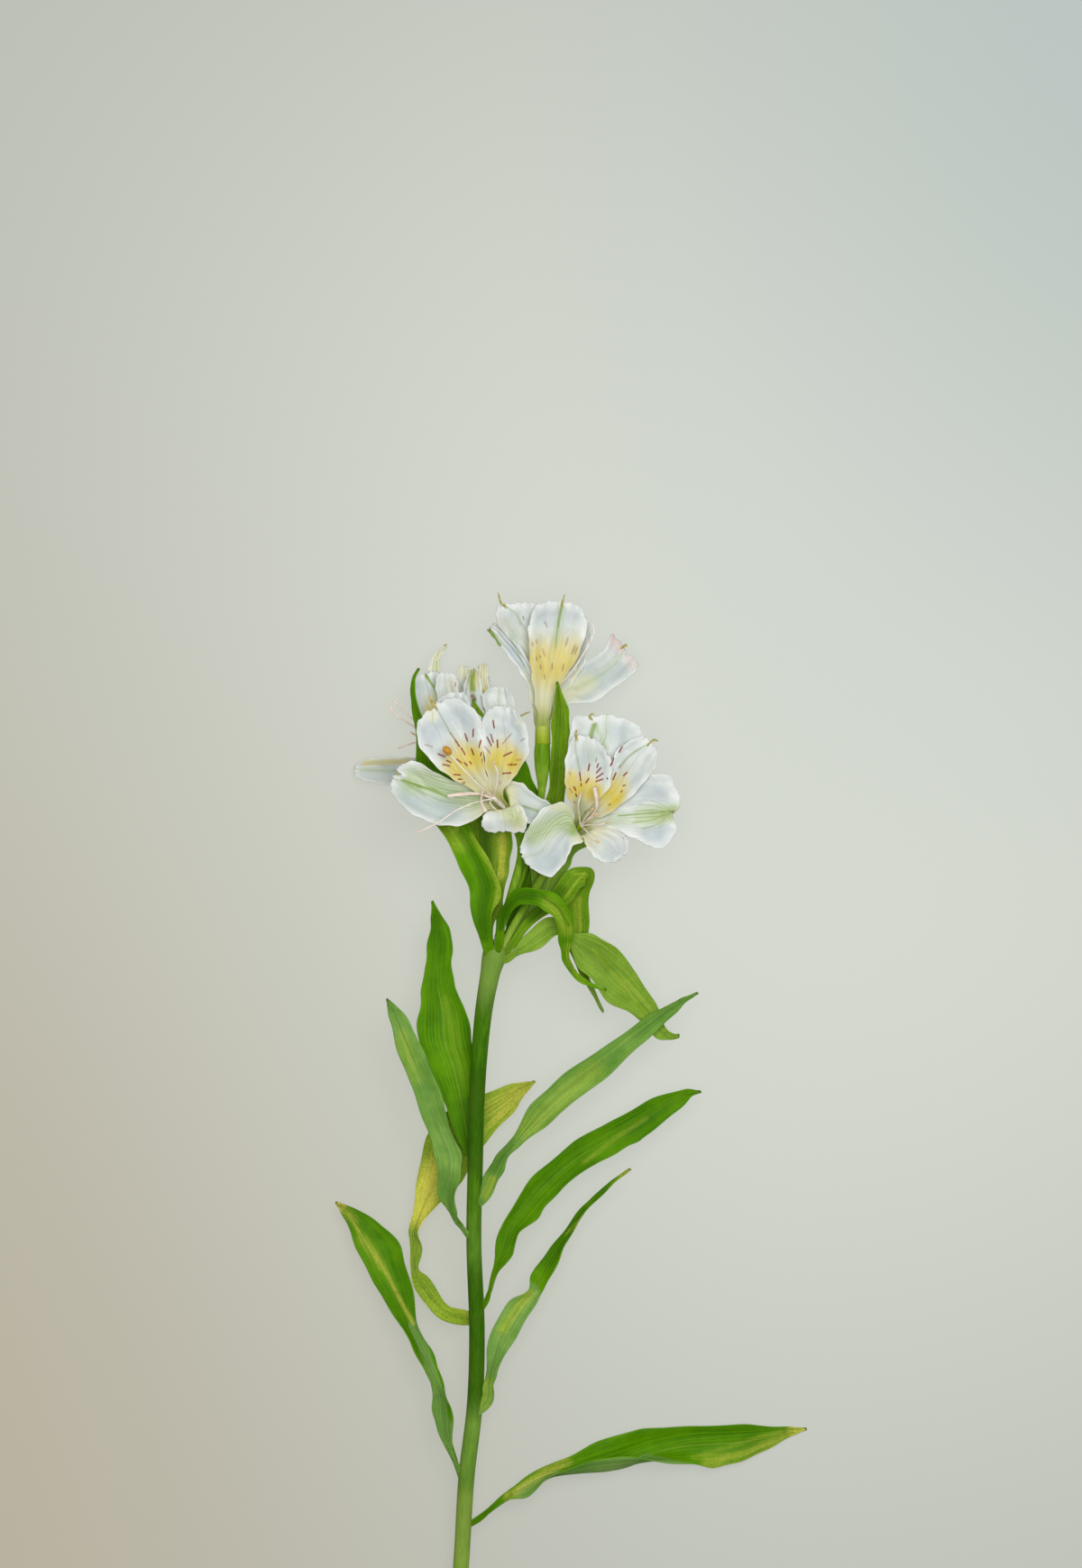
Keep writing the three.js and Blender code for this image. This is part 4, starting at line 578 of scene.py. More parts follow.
def open_mesh(*tints):
    """An empty bmesh with a UV map, a thickness weight and the named tint layers."""
    bm = bmesh.new()
    bm.loops.layers.uv.new("blade")
    bm.verts.layers.deform.verify()
    for tint in tints:
        bm.verts.layers.float.new(tint)
    return bm


def dye(bm, vert, tints):
    """Gives a corner the strengths of its tints."""
    for layer, strength in tints.items():
        vert[bm.verts.layers.float[layer]] = strength


def faces_round(verts):
    """Every face that meets one of those corners."""
    return {face for vert in verts for face in vert.link_faces}


def wear(verts, finish):
    """Gives the faces round those corners that finish of their piece, counted from 0."""
    for face in faces_round(verts):
        face.material_index = finish


def fray(along, side, pace):
    """An uneven swing between about -1 and 1, along a margin on one side or the other."""
    return 2 * noise.noise(Vector((along * pace, 3.0 * math.copysign(1, side), 5.2)))


def lay_blade(bm, blade, across, along, ripple, paint, gather=0.0, notch=(0.0, 0.0), frill=0.0, bumps=()):
    """Lays a grid on a blade. ripple gives the lift of its margin, and paint its tints, at (u, s).
    gather draws its veins together at the tip, notch is how deep and where its end is nipped, frill
    how far its outline wanders, and bumps are (x, y, reach, push) where its margin stands out."""
    thick = bm.verts.layers.deform.active
    uv = bm.loops.layers.uv.active
    nip, nip_at = notch
    grid = bmesh.ops.create_grid(bm, x_segments=across, y_segments=along, size=1.0, calc_uvs=True)
    for vert in grid["verts"]:
        s, u = vert.co.x, (vert.co.y + 1) / 2
        a, b, ahead, up, _, _ = blade.row(u)
        place = blade.place(u, s)
        nipped = nip * math.exp(-(((s - nip_at) / NIP_WIDTH) ** 2)) * smooth_step(u, 0.8, 1.0)
        vert.co = place + up * ripple(u, s, place) + ahead * (frill * fray(s, u, 5.0) * u**8 - nipped)
        outward = (b - a).normalized()
        vert.co += outward * s**9 * frill * fray(u, s, 12.0)
        for x, y, reach, push in bumps:
            near = math.exp(-((place.x - x) ** 2 + (place.y - y) ** 2) / reach**2)
            vert.co += outward * s**3 * push * near
        for loop in vert.link_loops:
            loop[uv].uv = (0.5 + 0.5 * s / (1 - gather * u**3), u)
        vert[thick][0] = 1 - s * s
        dye(bm, vert, paint(u, s, place))
    return grid["verts"]


def roll_limb(bm, stations, around, per_span, lobes=0, lobe_depth=0.0):
    """Rolls a grid into a round limb, with lobes running along it if asked, and returns its corners."""
    line = smooth_line([Vector(s[:3]) for s in stations])
    width = smooth_line([Vector((s[3], 0, 0)) for s in stations])
    steps = (len(stations) - 1) * per_span
    grid = bmesh.ops.create_grid(bm, x_segments=around, y_segments=steps, size=1.0, calc_uvs=True)
    rings = []
    side = Vector((0, 0, 1))
    for k in range(steps + 1):
        middle, slope = line(k / steps)
        ahead = slope.normalized()
        side = (side - ahead * side.dot(ahead)).normalized()
        rings.append((middle, side, ahead.cross(side), width(k / steps)[0].x))
    for vert in grid["verts"]:
        middle, up, out, radius = rings[round((vert.co.y + 1) / 2 * steps)]
        turn = math.pi * (vert.co.x + 1)
        swollen = smooth_step(radius, OVARY_FROM, OVARY_FULL)
        reach = radius * (1 + lobe_depth * swollen * math.cos(lobes * turn))
        vert.co = middle + (up * math.cos(turn) + out * math.sin(turn)) * reach
    bmesh.ops.remove_doubles(bm, verts=grid["verts"], dist=SAME_PLACE)
    alive = [v for v in grid["verts"] if v.is_valid]
    rim = {e for v in alive for e in v.link_edges if e.is_boundary}
    bmesh.ops.holes_fill(bm, edges=list(rim), sides=0)
    bmesh.ops.recalc_face_normals(bm, faces=list(faces_round(alive)))
    return alive


def mesh_from(name, bm, finishes):
    """The bmesh as a mesh with those finishes. The bmesh is freed."""
    mesh = bpy.data.meshes.new(name)
    bm.to_mesh(mesh)
    bm.free()
    for finish in finishes:
        mesh.materials.append(finish)
    return mesh


def put(name, data):
    """A new object in the scene, at the origin."""
    made = bpy.data.objects.new(name, data)
    bpy.context.scene.collection.objects.link(made)
    return made


def finished(name, bm, node, finishes, thickness=None, thin=1.0):
    """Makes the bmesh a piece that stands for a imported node: moved to the frame, given its wall and
    its finishes. Materials after the first are those of the far side and the cut."""
    bmesh.ops.translate(bm, vec=SHIFT, verts=bm.verts)
    bmesh.ops.scale(bm, vec=(MM, MM, MM), verts=bm.verts)
    mesh = mesh_from(name, bm, finishes)
    mesh.shade_smooth()
    piece = put(name, mesh)
    if thickness:
        piece.vertex_groups.new(name="midrib")
        wall = piece.modifiers.new("wall", "SOLIDIFY")
        wall.thickness = thickness * MM
        wall.offset = 0
        wall.vertex_group = "midrib"
        wall.thickness_vertex_group = thin
        wall.material_offset = 1
    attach(piece, "root")
    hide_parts(node)
    return piece


# ---------------------------------------------------------------- finishes


def add(tree, kind, **settings):
    """A node of that kind, with its settings."""
    made = tree.nodes.new(kind)
    for key, value in settings.items():
        setattr(made, key, value)
    return made


def feed(tree, socket, source):
    """Links a socket to another, or sets it where the source is a plain number or colour."""
    if isinstance(source, bpy.types.NodeSocket):
        tree.links.new(source, socket)
    else:
        socket.default_value = source


def calc(tree, operation, *sources, clamp=False):
    """A Math node's answer."""
    made = add(tree, "ShaderNodeMath", operation=operation, use_clamp=clamp)
    for socket, source in zip(made.inputs, sources):
        feed(tree, socket, source)
    return made.outputs[0]


def blend(tree, factor, colour_a, colour_b):
    """Colour a turning to colour b as factor goes from 0 to 1."""
    made = add(tree, "ShaderNodeMix", data_type="RGBA")
    for name, source in (("Factor_Float", factor), ("A_Color", colour_a), ("B_Color", colour_b)):
        feed(tree, next(i for i in made.inputs if i.identifier == name), source)
    return next(o for o in made.outputs if o.identifier == "Result_Color")


def wash(tree, under, mask, share, over):
    """A colour with a web colour laid over it, by the mask times that share."""
    return blend(tree, calc(tree, "MULTIPLY", mask, share), under, rgb(over))


def rise(tree, source, start, end):
    """0 where source is at start, 1 where it is at end, and smooth between."""
    made = add(tree, "ShaderNodeMapRange", interpolation_type="SMOOTHSTEP")
    feed(tree, made.inputs["Value"], source)
    made.inputs["From Min"].default_value = start
    made.inputs["From Max"].default_value = end
    return made.outputs["Result"]


def tint(tree, name):
    """The strength of a tint painted on the piece."""
    return add(tree, "ShaderNodeAttribute", attribute_name=name).outputs["Fac"]


def grain(tree, vector, scale, detail=2.0, roughness=0.5):
    """A Noise node's value on that vector."""
    made = add(tree, "ShaderNodeTexNoise")
    feed(tree, made.inputs["Vector"], vector)
    made.inputs["Scale"].default_value = scale
    made.inputs["Detail"].default_value = detail
    made.inputs["Roughness"].default_value = roughness
    return made.outputs["Fac"]


def rgb(code):
    """A linear colour from a web colour such as "5e9a12"."""
    parts = [int(code[i : i + 2], 16) / 255 for i in (0, 2, 4)]
    linear = [p / 12.92 if p <= 0.04045 else ((p + 0.055) / 1.055) ** 2.4 for p in parts]
    return (*linear, 1.0)


def make_vein_group():
    """Parallel veins along a blade. Lines are the veins, Streak the uneven tissue between them,
    Midrib the middle, and Height all of it as relief."""
    group = bpy.data.node_groups.new("parallel veins", "ShaderNodeTree")
    for name, kind in (("UV", "NodeSocketVector"), ("Veins", "NodeSocketFloat")):
        group.interface.new_socket(name, in_out="INPUT", socket_type=kind)
    for name in ("Lines", "Streak", "Midrib", "Height"):
        group.interface.new_socket(name, in_out="OUTPUT", socket_type="NodeSocketFloat")
    source, result = add(group, "NodeGroupInput"), add(group, "NodeGroupOutput")
    split = add(group, "ShaderNodeSeparateXYZ")
    feed(group, split.inputs[0], source.outputs["UV"])
    across, along = split.outputs[0], split.outputs[1]
    stretched = add(group, "ShaderNodeCombineXYZ")
    feed(group, stretched.inputs[0], calc(group, "MULTIPLY", across, source.outputs["Veins"]))
    feed(group, stretched.inputs[1], calc(group, "MULTIPLY", along, 3.0))
    streak = rise(group, grain(group, stretched.outputs[0], 1.1, detail=3.0, roughness=0.65), 0.32, 0.68)
    drift = calc(group, "MULTIPLY", grain(group, stretched.outputs[0], 0.4), 0.6)
    wave_at = calc(group, "MULTIPLY", across, source.outputs["Veins"])
    wave = calc(group, "SINE", calc(group, "MULTIPLY", calc(group, "ADD", wave_at, drift), math.tau))
    lines = rise(group, wave, 0.1, 1.0)
    fading = rise(group, grain(group, stretched.outputs[0], 0.7, detail=1.0), 0.3, 0.62)
    lines = calc(group, "MULTIPLY", lines, calc(group, "MULTIPLY_ADD", fading, 0.75, 0.25))
    off_middle = calc(group, "ABSOLUTE", calc(group, "SUBTRACT", across, 0.5))
    midrib = rise(group, off_middle, 0.035, 0.008)
    height = calc(group, "MULTIPLY_ADD", midrib, -1.2, calc(group, "MULTIPLY", lines, 0.12))
    height = calc(group, "MULTIPLY_ADD", streak, 0.6, height)
    for name, value in (("Lines", lines), ("Streak", streak), ("Midrib", midrib), ("Height", height)):
        feed(group, result.inputs[name], value)
    return group


VEIN_GROUP = make_vein_group()


def start_finish(name):
    """A new material with its tree, its shader and an Object-coordinate vector."""
    made = bpy.data.materials.new(name)
    made.use_nodes = True
    tree = made.node_tree
    shader = tree.nodes["Principled BSDF"]
    where = add(tree, "ShaderNodeTexCoord").outputs["Object"]
    return made, tree, shader, where


def veined(tree, veins):
    """The vein group on the piece's own UV map."""
    made = add(tree, "ShaderNodeGroup", node_tree=VEIN_GROUP)
    feed(tree, made.inputs["UV"], add(tree, "ShaderNodeUVMap", uv_map="blade").outputs[0])
    made.inputs["Veins"].default_value = veins
    return made.outputs


def set_values(shader, **values):
    """Sets plain values of the shader, named with _ for a space."""
    for name, value in values.items():
        shader.inputs[name.replace("_", " ")].default_value = value


GREEN_DEPTHS = (0.4, 1.0, 0.15)  # how far red, green and blue light go into green tissue, as shares
GREEN_REACH = 0.001  # the whole of that, metres
WAXY = 0.05  # how little green skin shines


def relief(tree, shader, height, depth):
    """Bumps of that depth in metres under the shader."""
    bump = add(tree, "ShaderNodeBump")
    bump.inputs["Strength"].default_value = 1.0
    bump.inputs["Distance"].default_value = depth
    feed(tree, bump.inputs["Height"], height)
    feed(tree, shader.inputs["Normal"], bump.outputs[0])


def leaf_finish(name, turned):
    """Leaf blade: glossy green on its upper side and glaucous below. Where the blade is turned over,
    the tint glaucous says so; the far side of the piece wears the other of the two."""
    made, tree, shader, where = start_finish(name)
    veins = veined(tree, 15.0)
    mottle = grain(tree, where, 55.0, detail=4.0, roughness=0.6)
    patchy = grain(tree, where, 260.0, detail=3.0)
    speckle = rise(tree, grain(tree, where, 1100.0, detail=3.0), 0.32, 0.66)
    green = blend(tree, rise(tree, mottle, 0.35, 0.68), rgb("3a7200"), rgb("5c9402"))
    green = wash(tree, green, veins["Streak"], 0.42, "74a604")
    green = wash(tree, green, veins["Lines"], 0.2, "8abc1c")
    green = wash(tree, green, veins["Midrib"], 0.35, "a0c348")
    bloom = blend(tree, rise(tree, mottle, 0.35, 0.68), rgb("5c8c30"), rgb("82aa4c"))
    bloom = wash(tree, bloom, veins["Streak"], 0.4, "9cbd6a")
    bloom = wash(tree, bloom, veins["Lines"], 0.4, "4d7d35")
    bloom = wash(tree, bloom, veins["Midrib"], 0.3, "a9c582")
    side = tint(tree, "glaucous")
    if turned:
        side = calc(tree, "SUBTRACT", 1.0, side)
    colour = blend(tree, side, green, bloom)
    fresh = blend(tree, veins["Streak"], rgb("96b22a"), rgb("b9c84a"))
    dappled = calc(tree, "MULTIPLY_ADD", speckle, 0.5, 0.6, clamp=True)
    colour = blend(tree, calc(tree, "MULTIPLY", tint(tree, "fresh"), dappled), colour, fresh)
    gold = calc(tree, "MULTIPLY", tint(tree, "yellow"), rise(tree, veins["Streak"], -0.3, 0.6))
    gold = calc(tree, "MULTIPLY", gold, dappled)
    colour = blend(tree, gold, colour, rgb("dcd558"))
    # deep: a darker green; along a leaf's trough and inside the fold of bract_left it is painted shade
    colour = wash(tree, colour, tint(tree, "deep"), 0.75, "2a5a00")
    gaps = calc(tree, "SUBTRACT", 1.0, veins["Lines"])
    between = calc(tree, "MULTIPLY", gaps, rise(tree, patchy, 0.35, 0.7))
    colour = wash(tree, colour, between, 0.15, "2f6a00")
    feed(tree, shader.inputs["Base Color"], colour)
    feed(tree, shader.inputs["Roughness"], calc(tree, "MULTIPLY_ADD", veins["Streak"], 0.18, 0.42))
    set_values(shader, Specular_IOR_Level=WAXY, Subsurface_Weight=0.1)
    set_values(shader, Subsurface_Radius=GREEN_DEPTHS, Subsurface_Scale=GREEN_REACH)
    relief(tree, shader, veins["Height"], 0.00018)
    return made


def petal_finish(name, far_side):
    """Petal: silky white with faint veins. Its tints are the yellow throat, the pale green keel, leafy
    green, cream, painted lilac shade where a petal lies in shade, painted light on its margins and
    tips, pink blush, rusty tips and the red-brown marks."""
    made, tree, shader, where = start_finish(name)
    veins = veined(tree, 12.0)
    soft = grain(tree, where, 90.0, detail=3.0)
    colour = blend(tree, rise(tree, soft, 0.3, 0.7), rgb("c1cac8"), rgb("dbdfda"))
    # painted shade: a bluish grey where a petal lies in shade
    colour = wash(tree, colour, tint(tree, "lilac"), 0.6, "b1bdc4")
    # painted light: brighter margins and tips where the thin petal is lit through, and shaded spots lifted
    colour = wash(tree, colour, tint(tree, "rim"), 0.75, "eff1ee")
    colour = wash(tree, colour, veins["Lines"], 0.22, "b4c3b6")
    colour = wash(tree, colour, tint(tree, "cream"), 0.85, "dfdcb4")
    colour = wash(tree, colour, tint(tree, "blush"), 0.6, "d8b3ae")
    ragged = calc(tree, "MULTIPLY", tint(tree, "throat"), rise(tree, veins["Streak"], -0.9, 0.6))
    colour = wash(tree, colour, ragged, 0.5 if far_side else 0.95, "d6c244")
    keel = tint(tree, "keel")
    colour = wash(tree, colour, keel, 0.75, "b3c496")
    drawn = calc(tree, "MULTIPLY", keel, veins["Lines"])
    colour = wash(tree, colour, drawn, 0.8, "90aa52")
    colour = blend(tree, tint(tree, "leafy"), colour, rgb("7b9a34"))
    colour = blend(tree, tint(tree, "rust"), colour, rgb("7c6226"))
    if not far_side:
        colour = blend(tree, tint(tree, "mark"), colour, rgb("840800"))
    feed(tree, shader.inputs["Base Color"], colour)
    feed(tree, shader.inputs["Roughness"], calc(tree, "MULTIPLY_ADD", veins["Streak"], 0.15, 0.4))
    set_values(shader, Specular_IOR_Level=0.35, Sheen_Weight=0.15, Subsurface_Weight=0.25)
    set_values(shader, Subsurface_Radius=(1.0, 0.95, 0.8), Subsurface_Scale=0.0005)
    relief(tree, shader, veins["Height"], 0.0001)
    return made


def stem_finish(name, skin, pale, dark):
    """Stem skin: long fine ridges and streaks. Tints: bloom for waxy bands, deep for the shaded
    lengths, fresh for the young yellow-green."""
    made, tree, shader, where = start_finish(name)
    stretch = add(tree, "ShaderNodeMapping")
    stretch.inputs["Scale"].default_value = (1400.0, 60.0, 1400.0)
    feed(tree, stretch.inputs["Vector"], where)
    streak = grain(tree, stretch.outputs[0], 1.0, detail=4.0, roughness=0.6)
    mottle = grain(tree, where, 90.0, detail=3.0)
    colour = blend(tree, rise(tree, streak, 0.3, 0.7), rgb(dark), rgb(skin))
    colour = wash(tree, colour, rise(tree, mottle, 0.4, 0.75), 0.4, pale)
    colour = wash(tree, colour, tint(tree, "bloom"), 0.8, "84a04a")
    colour = wash(tree, colour, tint(tree, "deep"), 0.8, "2b5400")
    colour = wash(tree, colour, tint(tree, "fresh"), 0.85, "b9c866")
    feed(tree, shader.inputs["Base Color"], colour)
    feed(tree, shader.inputs["Roughness"], calc(tree, "MULTIPLY_ADD", streak, 0.25, 0.38))
    set_values(shader, Specular_IOR_Level=WAXY, Subsurface_Weight=0.12)
    set_values(shader, Subsurface_Radius=GREEN_DEPTHS, Subsurface_Scale=GREEN_REACH)
    relief(tree, shader, streak, 0.00012)
    return made


def plain_finish(name, light, dark, scale, roughness, depth):
    """A finish of two close shades with a fine grain, for filaments, anthers and the cut."""
    made, tree, shader, where = start_finish(name)
    fleck = grain(tree, where, scale, detail=3.0)
    colour = blend(tree, rise(tree, fleck, 0.35, 0.65), rgb(dark), rgb(light))
    feed(tree, shader.inputs["Base Color"], colour)
    feed(tree, shader.inputs["Roughness"], calc(tree, "MULTIPLY_ADD", fleck, 0.2, roughness))
    set_values(shader, Subsurface_Weight=0.15, Subsurface_Scale=0.001)
    relief(tree, shader, fleck, depth)
    return made


LEAF_FINISHES = [leaf_finish("leaf upper side", False), leaf_finish("leaf underside", True)]
PETAL_FINISHES = [petal_finish("petal inside", False), petal_finish("petal outside", True)]
STEM_SKIN = stem_finish("stem skin", "5c9010", "7aa030", "346a04")
STALK_SKIN = stem_finish("flower stalk skin", "7aa022", "a2ba44", "4e8010")
HEART_SKIN = stem_finish("flower base skin", "98ac10", "b2bc2c", "809a08")
CUT_PITH = plain_finish("cut pith", "cfdfa8", "a9c67a", 900.0, 0.5, 0.0002)
FILAMENT = plain_finish("filament", "efece2", "e6d6c6", 500.0, 0.4, 0.00003)
PEACH_FILAMENT = plain_finish("peach filament", "efe0d4", "e5cbbb", 500.0, 0.4, 0.00003)
HOOK_SKIN = plain_finish("petal tip", "c2bb6c", "978b46", 700.0, 0.5, 0.00005)
ANTHER = plain_finish("ripe anther", "d09a2c", "a8721a", 1500.0, 0.6, 0.0001)
PALE_ANTHER = plain_finish("pale anther", "e6d3a4", "cfae78", 1500.0, 0.6, 0.0001)

# ---------------------------------------------------------------- leaves and bracts

# deep darkens the green; along a leaf's trough and in bract_left's fold it is painted shade
LEAF_TINTS = ("glaucous", "yellow", "fresh", "deep")
CRISP, SOFT = 0.8, 0.15  # how far in from its edge a brushed line of colour is at full strength

# Colours brushed on a leaf: its tints all over, then lines of (tint, radius, strength, [x, y] points).
# On bract_left a deep line is painted shade and a fresh line a painted highlight.
LEAF_WASHES = {
    "leaf_low_right": [
        {"deep": 0.25},
        ("glaucous", 5.0, 1.0, [[12, -202], [22, -197.5]]),
        ("glaucous", 3.4, 0.85, [[56, -190.5], [64, -192], [75, -194]]),
        ("yellow", 5.0, 0.42, [[80, -190.5], [95, -187.5], [108, -181.5]]),
        ("fresh", 1.3, 0.5, [[74, -188.3], [90, -183.6], [106, -178.7]]),
        ("yellow", 4.0, 1.0, [[111, -179], [116, -178]]),
        ("yellow", 2.6, 0.6, [[5, -202.5], [18, -194], [27, -189.5]]),
    ],
    "leaf_low_left": [
        {"deep": 0.32},
        ("yellow", 1.3, 0.7, [[-54, -98], [-47.3, -109.7], [-43, -115],
         [-38.7, -122], [-34.3, -131], [-30, -138]]),
        ("yellow", 2.8, 0.5, [[-49, -107], [-42, -117]]),
        ("yellow", 4.0, 1.0, [[-58.5, -93.5], [-57, -95]]),
        ("yellow", 3.0, 0.4, [[-56, -96], [-52, -100]]),
        ("glaucous", 2.2, 1.0, [[-30, -139], [-28.3, -142], [-26.1, -148.7], [-23.5, -155.6], [-21, -162]]),
        ("glaucous", 3.8, 1.0, [[-20.6, -165], [-20.5, -172], [-17, -183], [-13, -193]]),
        ("yellow", 0.9, 0.7, [[-21.2, -148], [-20.4, -155]]),
    ],
    "leaf_mid_right": [
        {},
        ("glaucous", 7.0, 1.0, [[-5, -170], [-2, -158], [0, -150], [4, -140], [8, -132], [11, -128.5]]),
        ("fresh", 4.0, 0.5, [[-4, -168], [-2.5, -160]]),
        ("fresh", 3.2, 0.75, [[3, -140], [8, -133], [13, -127]]),
        ("deep", 6.0, 0.55, [[18, -114], [28, -103], [40, -89]]),
        ("fresh", 0.9, 0.9, [[47, -83.4], [40, -91], [33, -98.4], [27, -105]]),
        ("yellow", 2.0, 0.7, [[48, -82], [50, -81]]),
    ],
    "leaf_back_yellow": [
        {"fresh": 0.75},
        ("yellow", 9.0, 0.95, [[2, -60], [14, -50]]),
        ("deep", 9.0, 0.4, [[2, -60], [14, -50]]),
        ("yellow", 9.0, 1.2, [[-20, -80], [-25, -88], [-28, -97]]),
        ("fresh", 9.0, 1.0, [[-20, -80], [-25, -88], [-28, -97]]),
        ("glaucous", 3.4, 0.7, [[-29.6, -107], [-29, -117]]),
        ("deep", 5.0, 0.35, [[-29, -106], [-29, -115], [-27, -121], [-23, -127]]),
        ("yellow", 3.0, 0.6, [[-15, -131], [-8, -133.5]]),
    ],
    "leaf_mid_left": [
        {"glaucous": 0.9},
        ("fresh", 2.4, 0.5, [[-33.6, -30.5], [-32.4, -35], [-31, -41]]),
        ("fresh", 5.0, 0.3, [[-34, -34], [-29, -46]]),
        ("deep", 6.0, 0.4, [[-17, -84], [-13, -100]]),
    ],
    "leaf_high_left": [
        {},
        ("deep", 6.0, 0.6, [[-8, -76], [-10, -66], [-12, -58]]),
        ("deep", 4.0, 0.5, [[-22, 12], [-21, 0], [-22.6, -14], [-23.4, -26]]),
        ("fresh", 3.0, 0.18, [[-12, -46], [-15, -30], [-18, -18]]),
    ],
    "leaf_mid_right_long": [
        {"deep": 0.34},
        ("fresh", 1.4, 0.5, [[33.3, -78.4], [40.6, -72.8], [48, -67.3], [56, -62]]),
        ("fresh", 2.6, 0.15, [[42, -71.8], [51, -65.6]]),
        ("deep", 3.0, 0.4, [[2, -112], [10, -98], [22, -83]]),
    ],
    "leaf_high_right": [
        {"glaucous": 0.8},
        ("fresh", 6.0, 0.42, [[12, -66], [20, -58.5], [30, -49.5], [37, -44]]),
        ("deep", 3.0, 0.4, [[-1, -80], [2, -77], [6, -70]]),
        ("fresh", 2.4, 0.7, [[-3, -90], [-0.5, -84]]),
    ],
    "bract_left": [
        {},
        # painted shade in the trough near the bract's base
        ("deep", 4.0, 0.75, [[-4, 6], [-4, 16], [-3, 26]]),
        ("fresh", 6.0, 0.55, [[-13, 40], [-19, 50], [-24, 62]]),
        # painted highlight along the lit rolled right margin
        ("fresh", 1.5, 0.7, [[-8, 43], [-1, 31], [1.6, 24], [0, 14]]),
        # painted shade inside the fold under that margin
        ("deep", 3.2, 0.75, [[-12, 44], [-6, 33], [-2.6, 24]]),
    ],
    "bract_back_left": [
        {"fresh": 0.45},
        ("yellow", 2.4, 0.75, [[2.6, 28], [3.2, 34], [3, 42]]),
        ("deep", 4.8, 1.0, [[-3, 24], [-3.4, 40], [-4, 58]]),
        ("deep", 2.0, 0.5, [[-6, 70], [-6, 84]]),
    ],
    "bract_back": [{"deep": 0.45}],
    "bract_upright": [
        {"fresh": 0.32},
        ("deep", 1.6, 0.5, [[23.4, 97], [23.6, 84], [22, 62]]),
    ],
    "bract_right_wavy": [{"glaucous": 0.6, "fresh": 0.3}, ("deep", 3.0, 0.5, [[12, 20], [18, 28]])],
    "bract_folded": [
        {"fresh": 0.25},
        ("deep", 3.6, 0.8, [[14, 13], [20, 18], [25, 23]]),
        ("fresh", 0.8, 0.9, [[33.5, 29.2], [30, 25], [26.3, 20]]),
        ("glaucous", 3.0, 1.0, [[37, -14], [40.5, -22]]),
        ("fresh", 2.0, 0.5, [[29, 29], [34, 28]]),
        ("fresh", 3.4, 0.7, [[31, 19], [31, 8]]),
    ],
    "bract_curled": [
        {},
        ("deep", 3.6, 0.8, [[2.4, 10], [4, 16], [9, 20.5], [14, 20.6]]),
        ("fresh", 4.0, 0.5, [[20, 18], [24, 14], [27, 8]]),
        ("fresh", 2.4, 0.4, [[27, 2], [28, -4], [33, -10]]),
        ("deep", 1.2, 0.6, [[18, 20.6], [24, 16.4], [27.4, 10]]),
    ],
    "bract_drooping": [
        {"fresh": 0.36, "glaucous": 0.5},
        ("deep", 5.0, 0.35, [[34, 2], [42, -6]]),
        ("fresh", 3.0, 0.45, [[12, 3], [18, 7]]),
        ("fresh", 8.0, 0.5, [[48, -12], [57, -23]]),
        ("fresh", 0.8, 0.9, [[36, 1], [44, -8], [52, -18]]),
    ],
}
# painted shade: the trough along a leaf's middle is painted a darker green
TROUGH_PAINTED_SHADE = 0.14  # how much deeper the green is along a leaf's middle
LEAF_BUMPS = {
    "leaf_mid_right_long": [
        [15.5, -98.8, 4.0, 1.9], [10.5, -104.5, 2.6, -0.9], [6.5, -112, 3.0, 0.7], [53.2, -70.5, 3.0, 0.9],
    ],
    "leaf_high_right": [[1.6, -82, 2.4, 0.6]],
    "leaf_low_right": [[81, -190, 4.5, 1.5], [92, -187.5, 6.0, 1.1]],
}
LEAF_ACROSS, LEAF_PER_SPAN = 20, 9  # faces across a leaf, and along it from one rib to the next
LEAF_FURROW, LEAF_WAVE = 0.08, 0.8  # how high its furrows and the wave of its margin stand, millimetres
LEAF_FRILL = 0.55  # how far a leaf's outline wanders, millimetres
WALL = {"leaf": 0.9, "petal": 0.7}  # blade thickness at the midrib, millimetres
THIN = {"leaf": 0.45, "petal": 0.6}  # the share of it that is left at the edges


def brushed(x, y, tint_name, radius, points):
    """How strongly a brushed line of colour covers a place."""
    hold = CRISP if tint_name == "glaucous" else SOFT
    return smooth_step(from_line(x, y, points), radius, radius * hold)


def brush_on(tints, place, lines):
    """Brings each line's tint up to its strength where the line covers a place."""
    for name, radius, strength, points in lines:
        covered = strength * brushed(place.x, place.y, name, radius, points)
        tints[name] = max(tints.get(name, 0.0), covered)


def leaf_painter(all_over, *lines):
    """Paints a leaf: u and s are its own coordinates, and the lines are brushed in plan."""

    def paint(u, s, place):
        tints = dict(all_over)
        # painted shade along the leaf's trough
        tints["deep"] = max(tints.get("deep", 0.0), TROUGH_PAINTED_SHADE * smooth_step(abs(s), 0.3, 0.0))
        brush_on(tints, place, lines)
        return tints

    return paint


def leaf_ripple(u, s, place):
    """A leaf's fine furrows and the slight wave of its margin."""
    wave = noise.noise(Vector((place.x * 0.11, place.y * 0.11, 3.7)))
    furrows = LEAF_FURROW * math.sin(16 * s + 2 * wave)
    return (furrows + LEAF_WAVE * wave * abs(s) ** 3) * smooth_step(u, 0.02, 0.15)


def make_leaf(name, ribs):
    """One leaf or bract in place of its packed blade."""
    bm = open_mesh(*LEAF_TINTS)
    blade = Blade(ribs)
    lay_blade(
        bm, blade, LEAF_ACROSS, blade.spans * LEAF_PER_SPAN, leaf_ripple, leaf_painter(*LEAF_WASHES[name]),
        frill=LEAF_FRILL, bumps=LEAF_BUMPS.get(name, ()),
    )
    finished(f"{name}_blade", bm, name, LEAF_FINISHES, WALL["leaf"], THIN["leaf"])


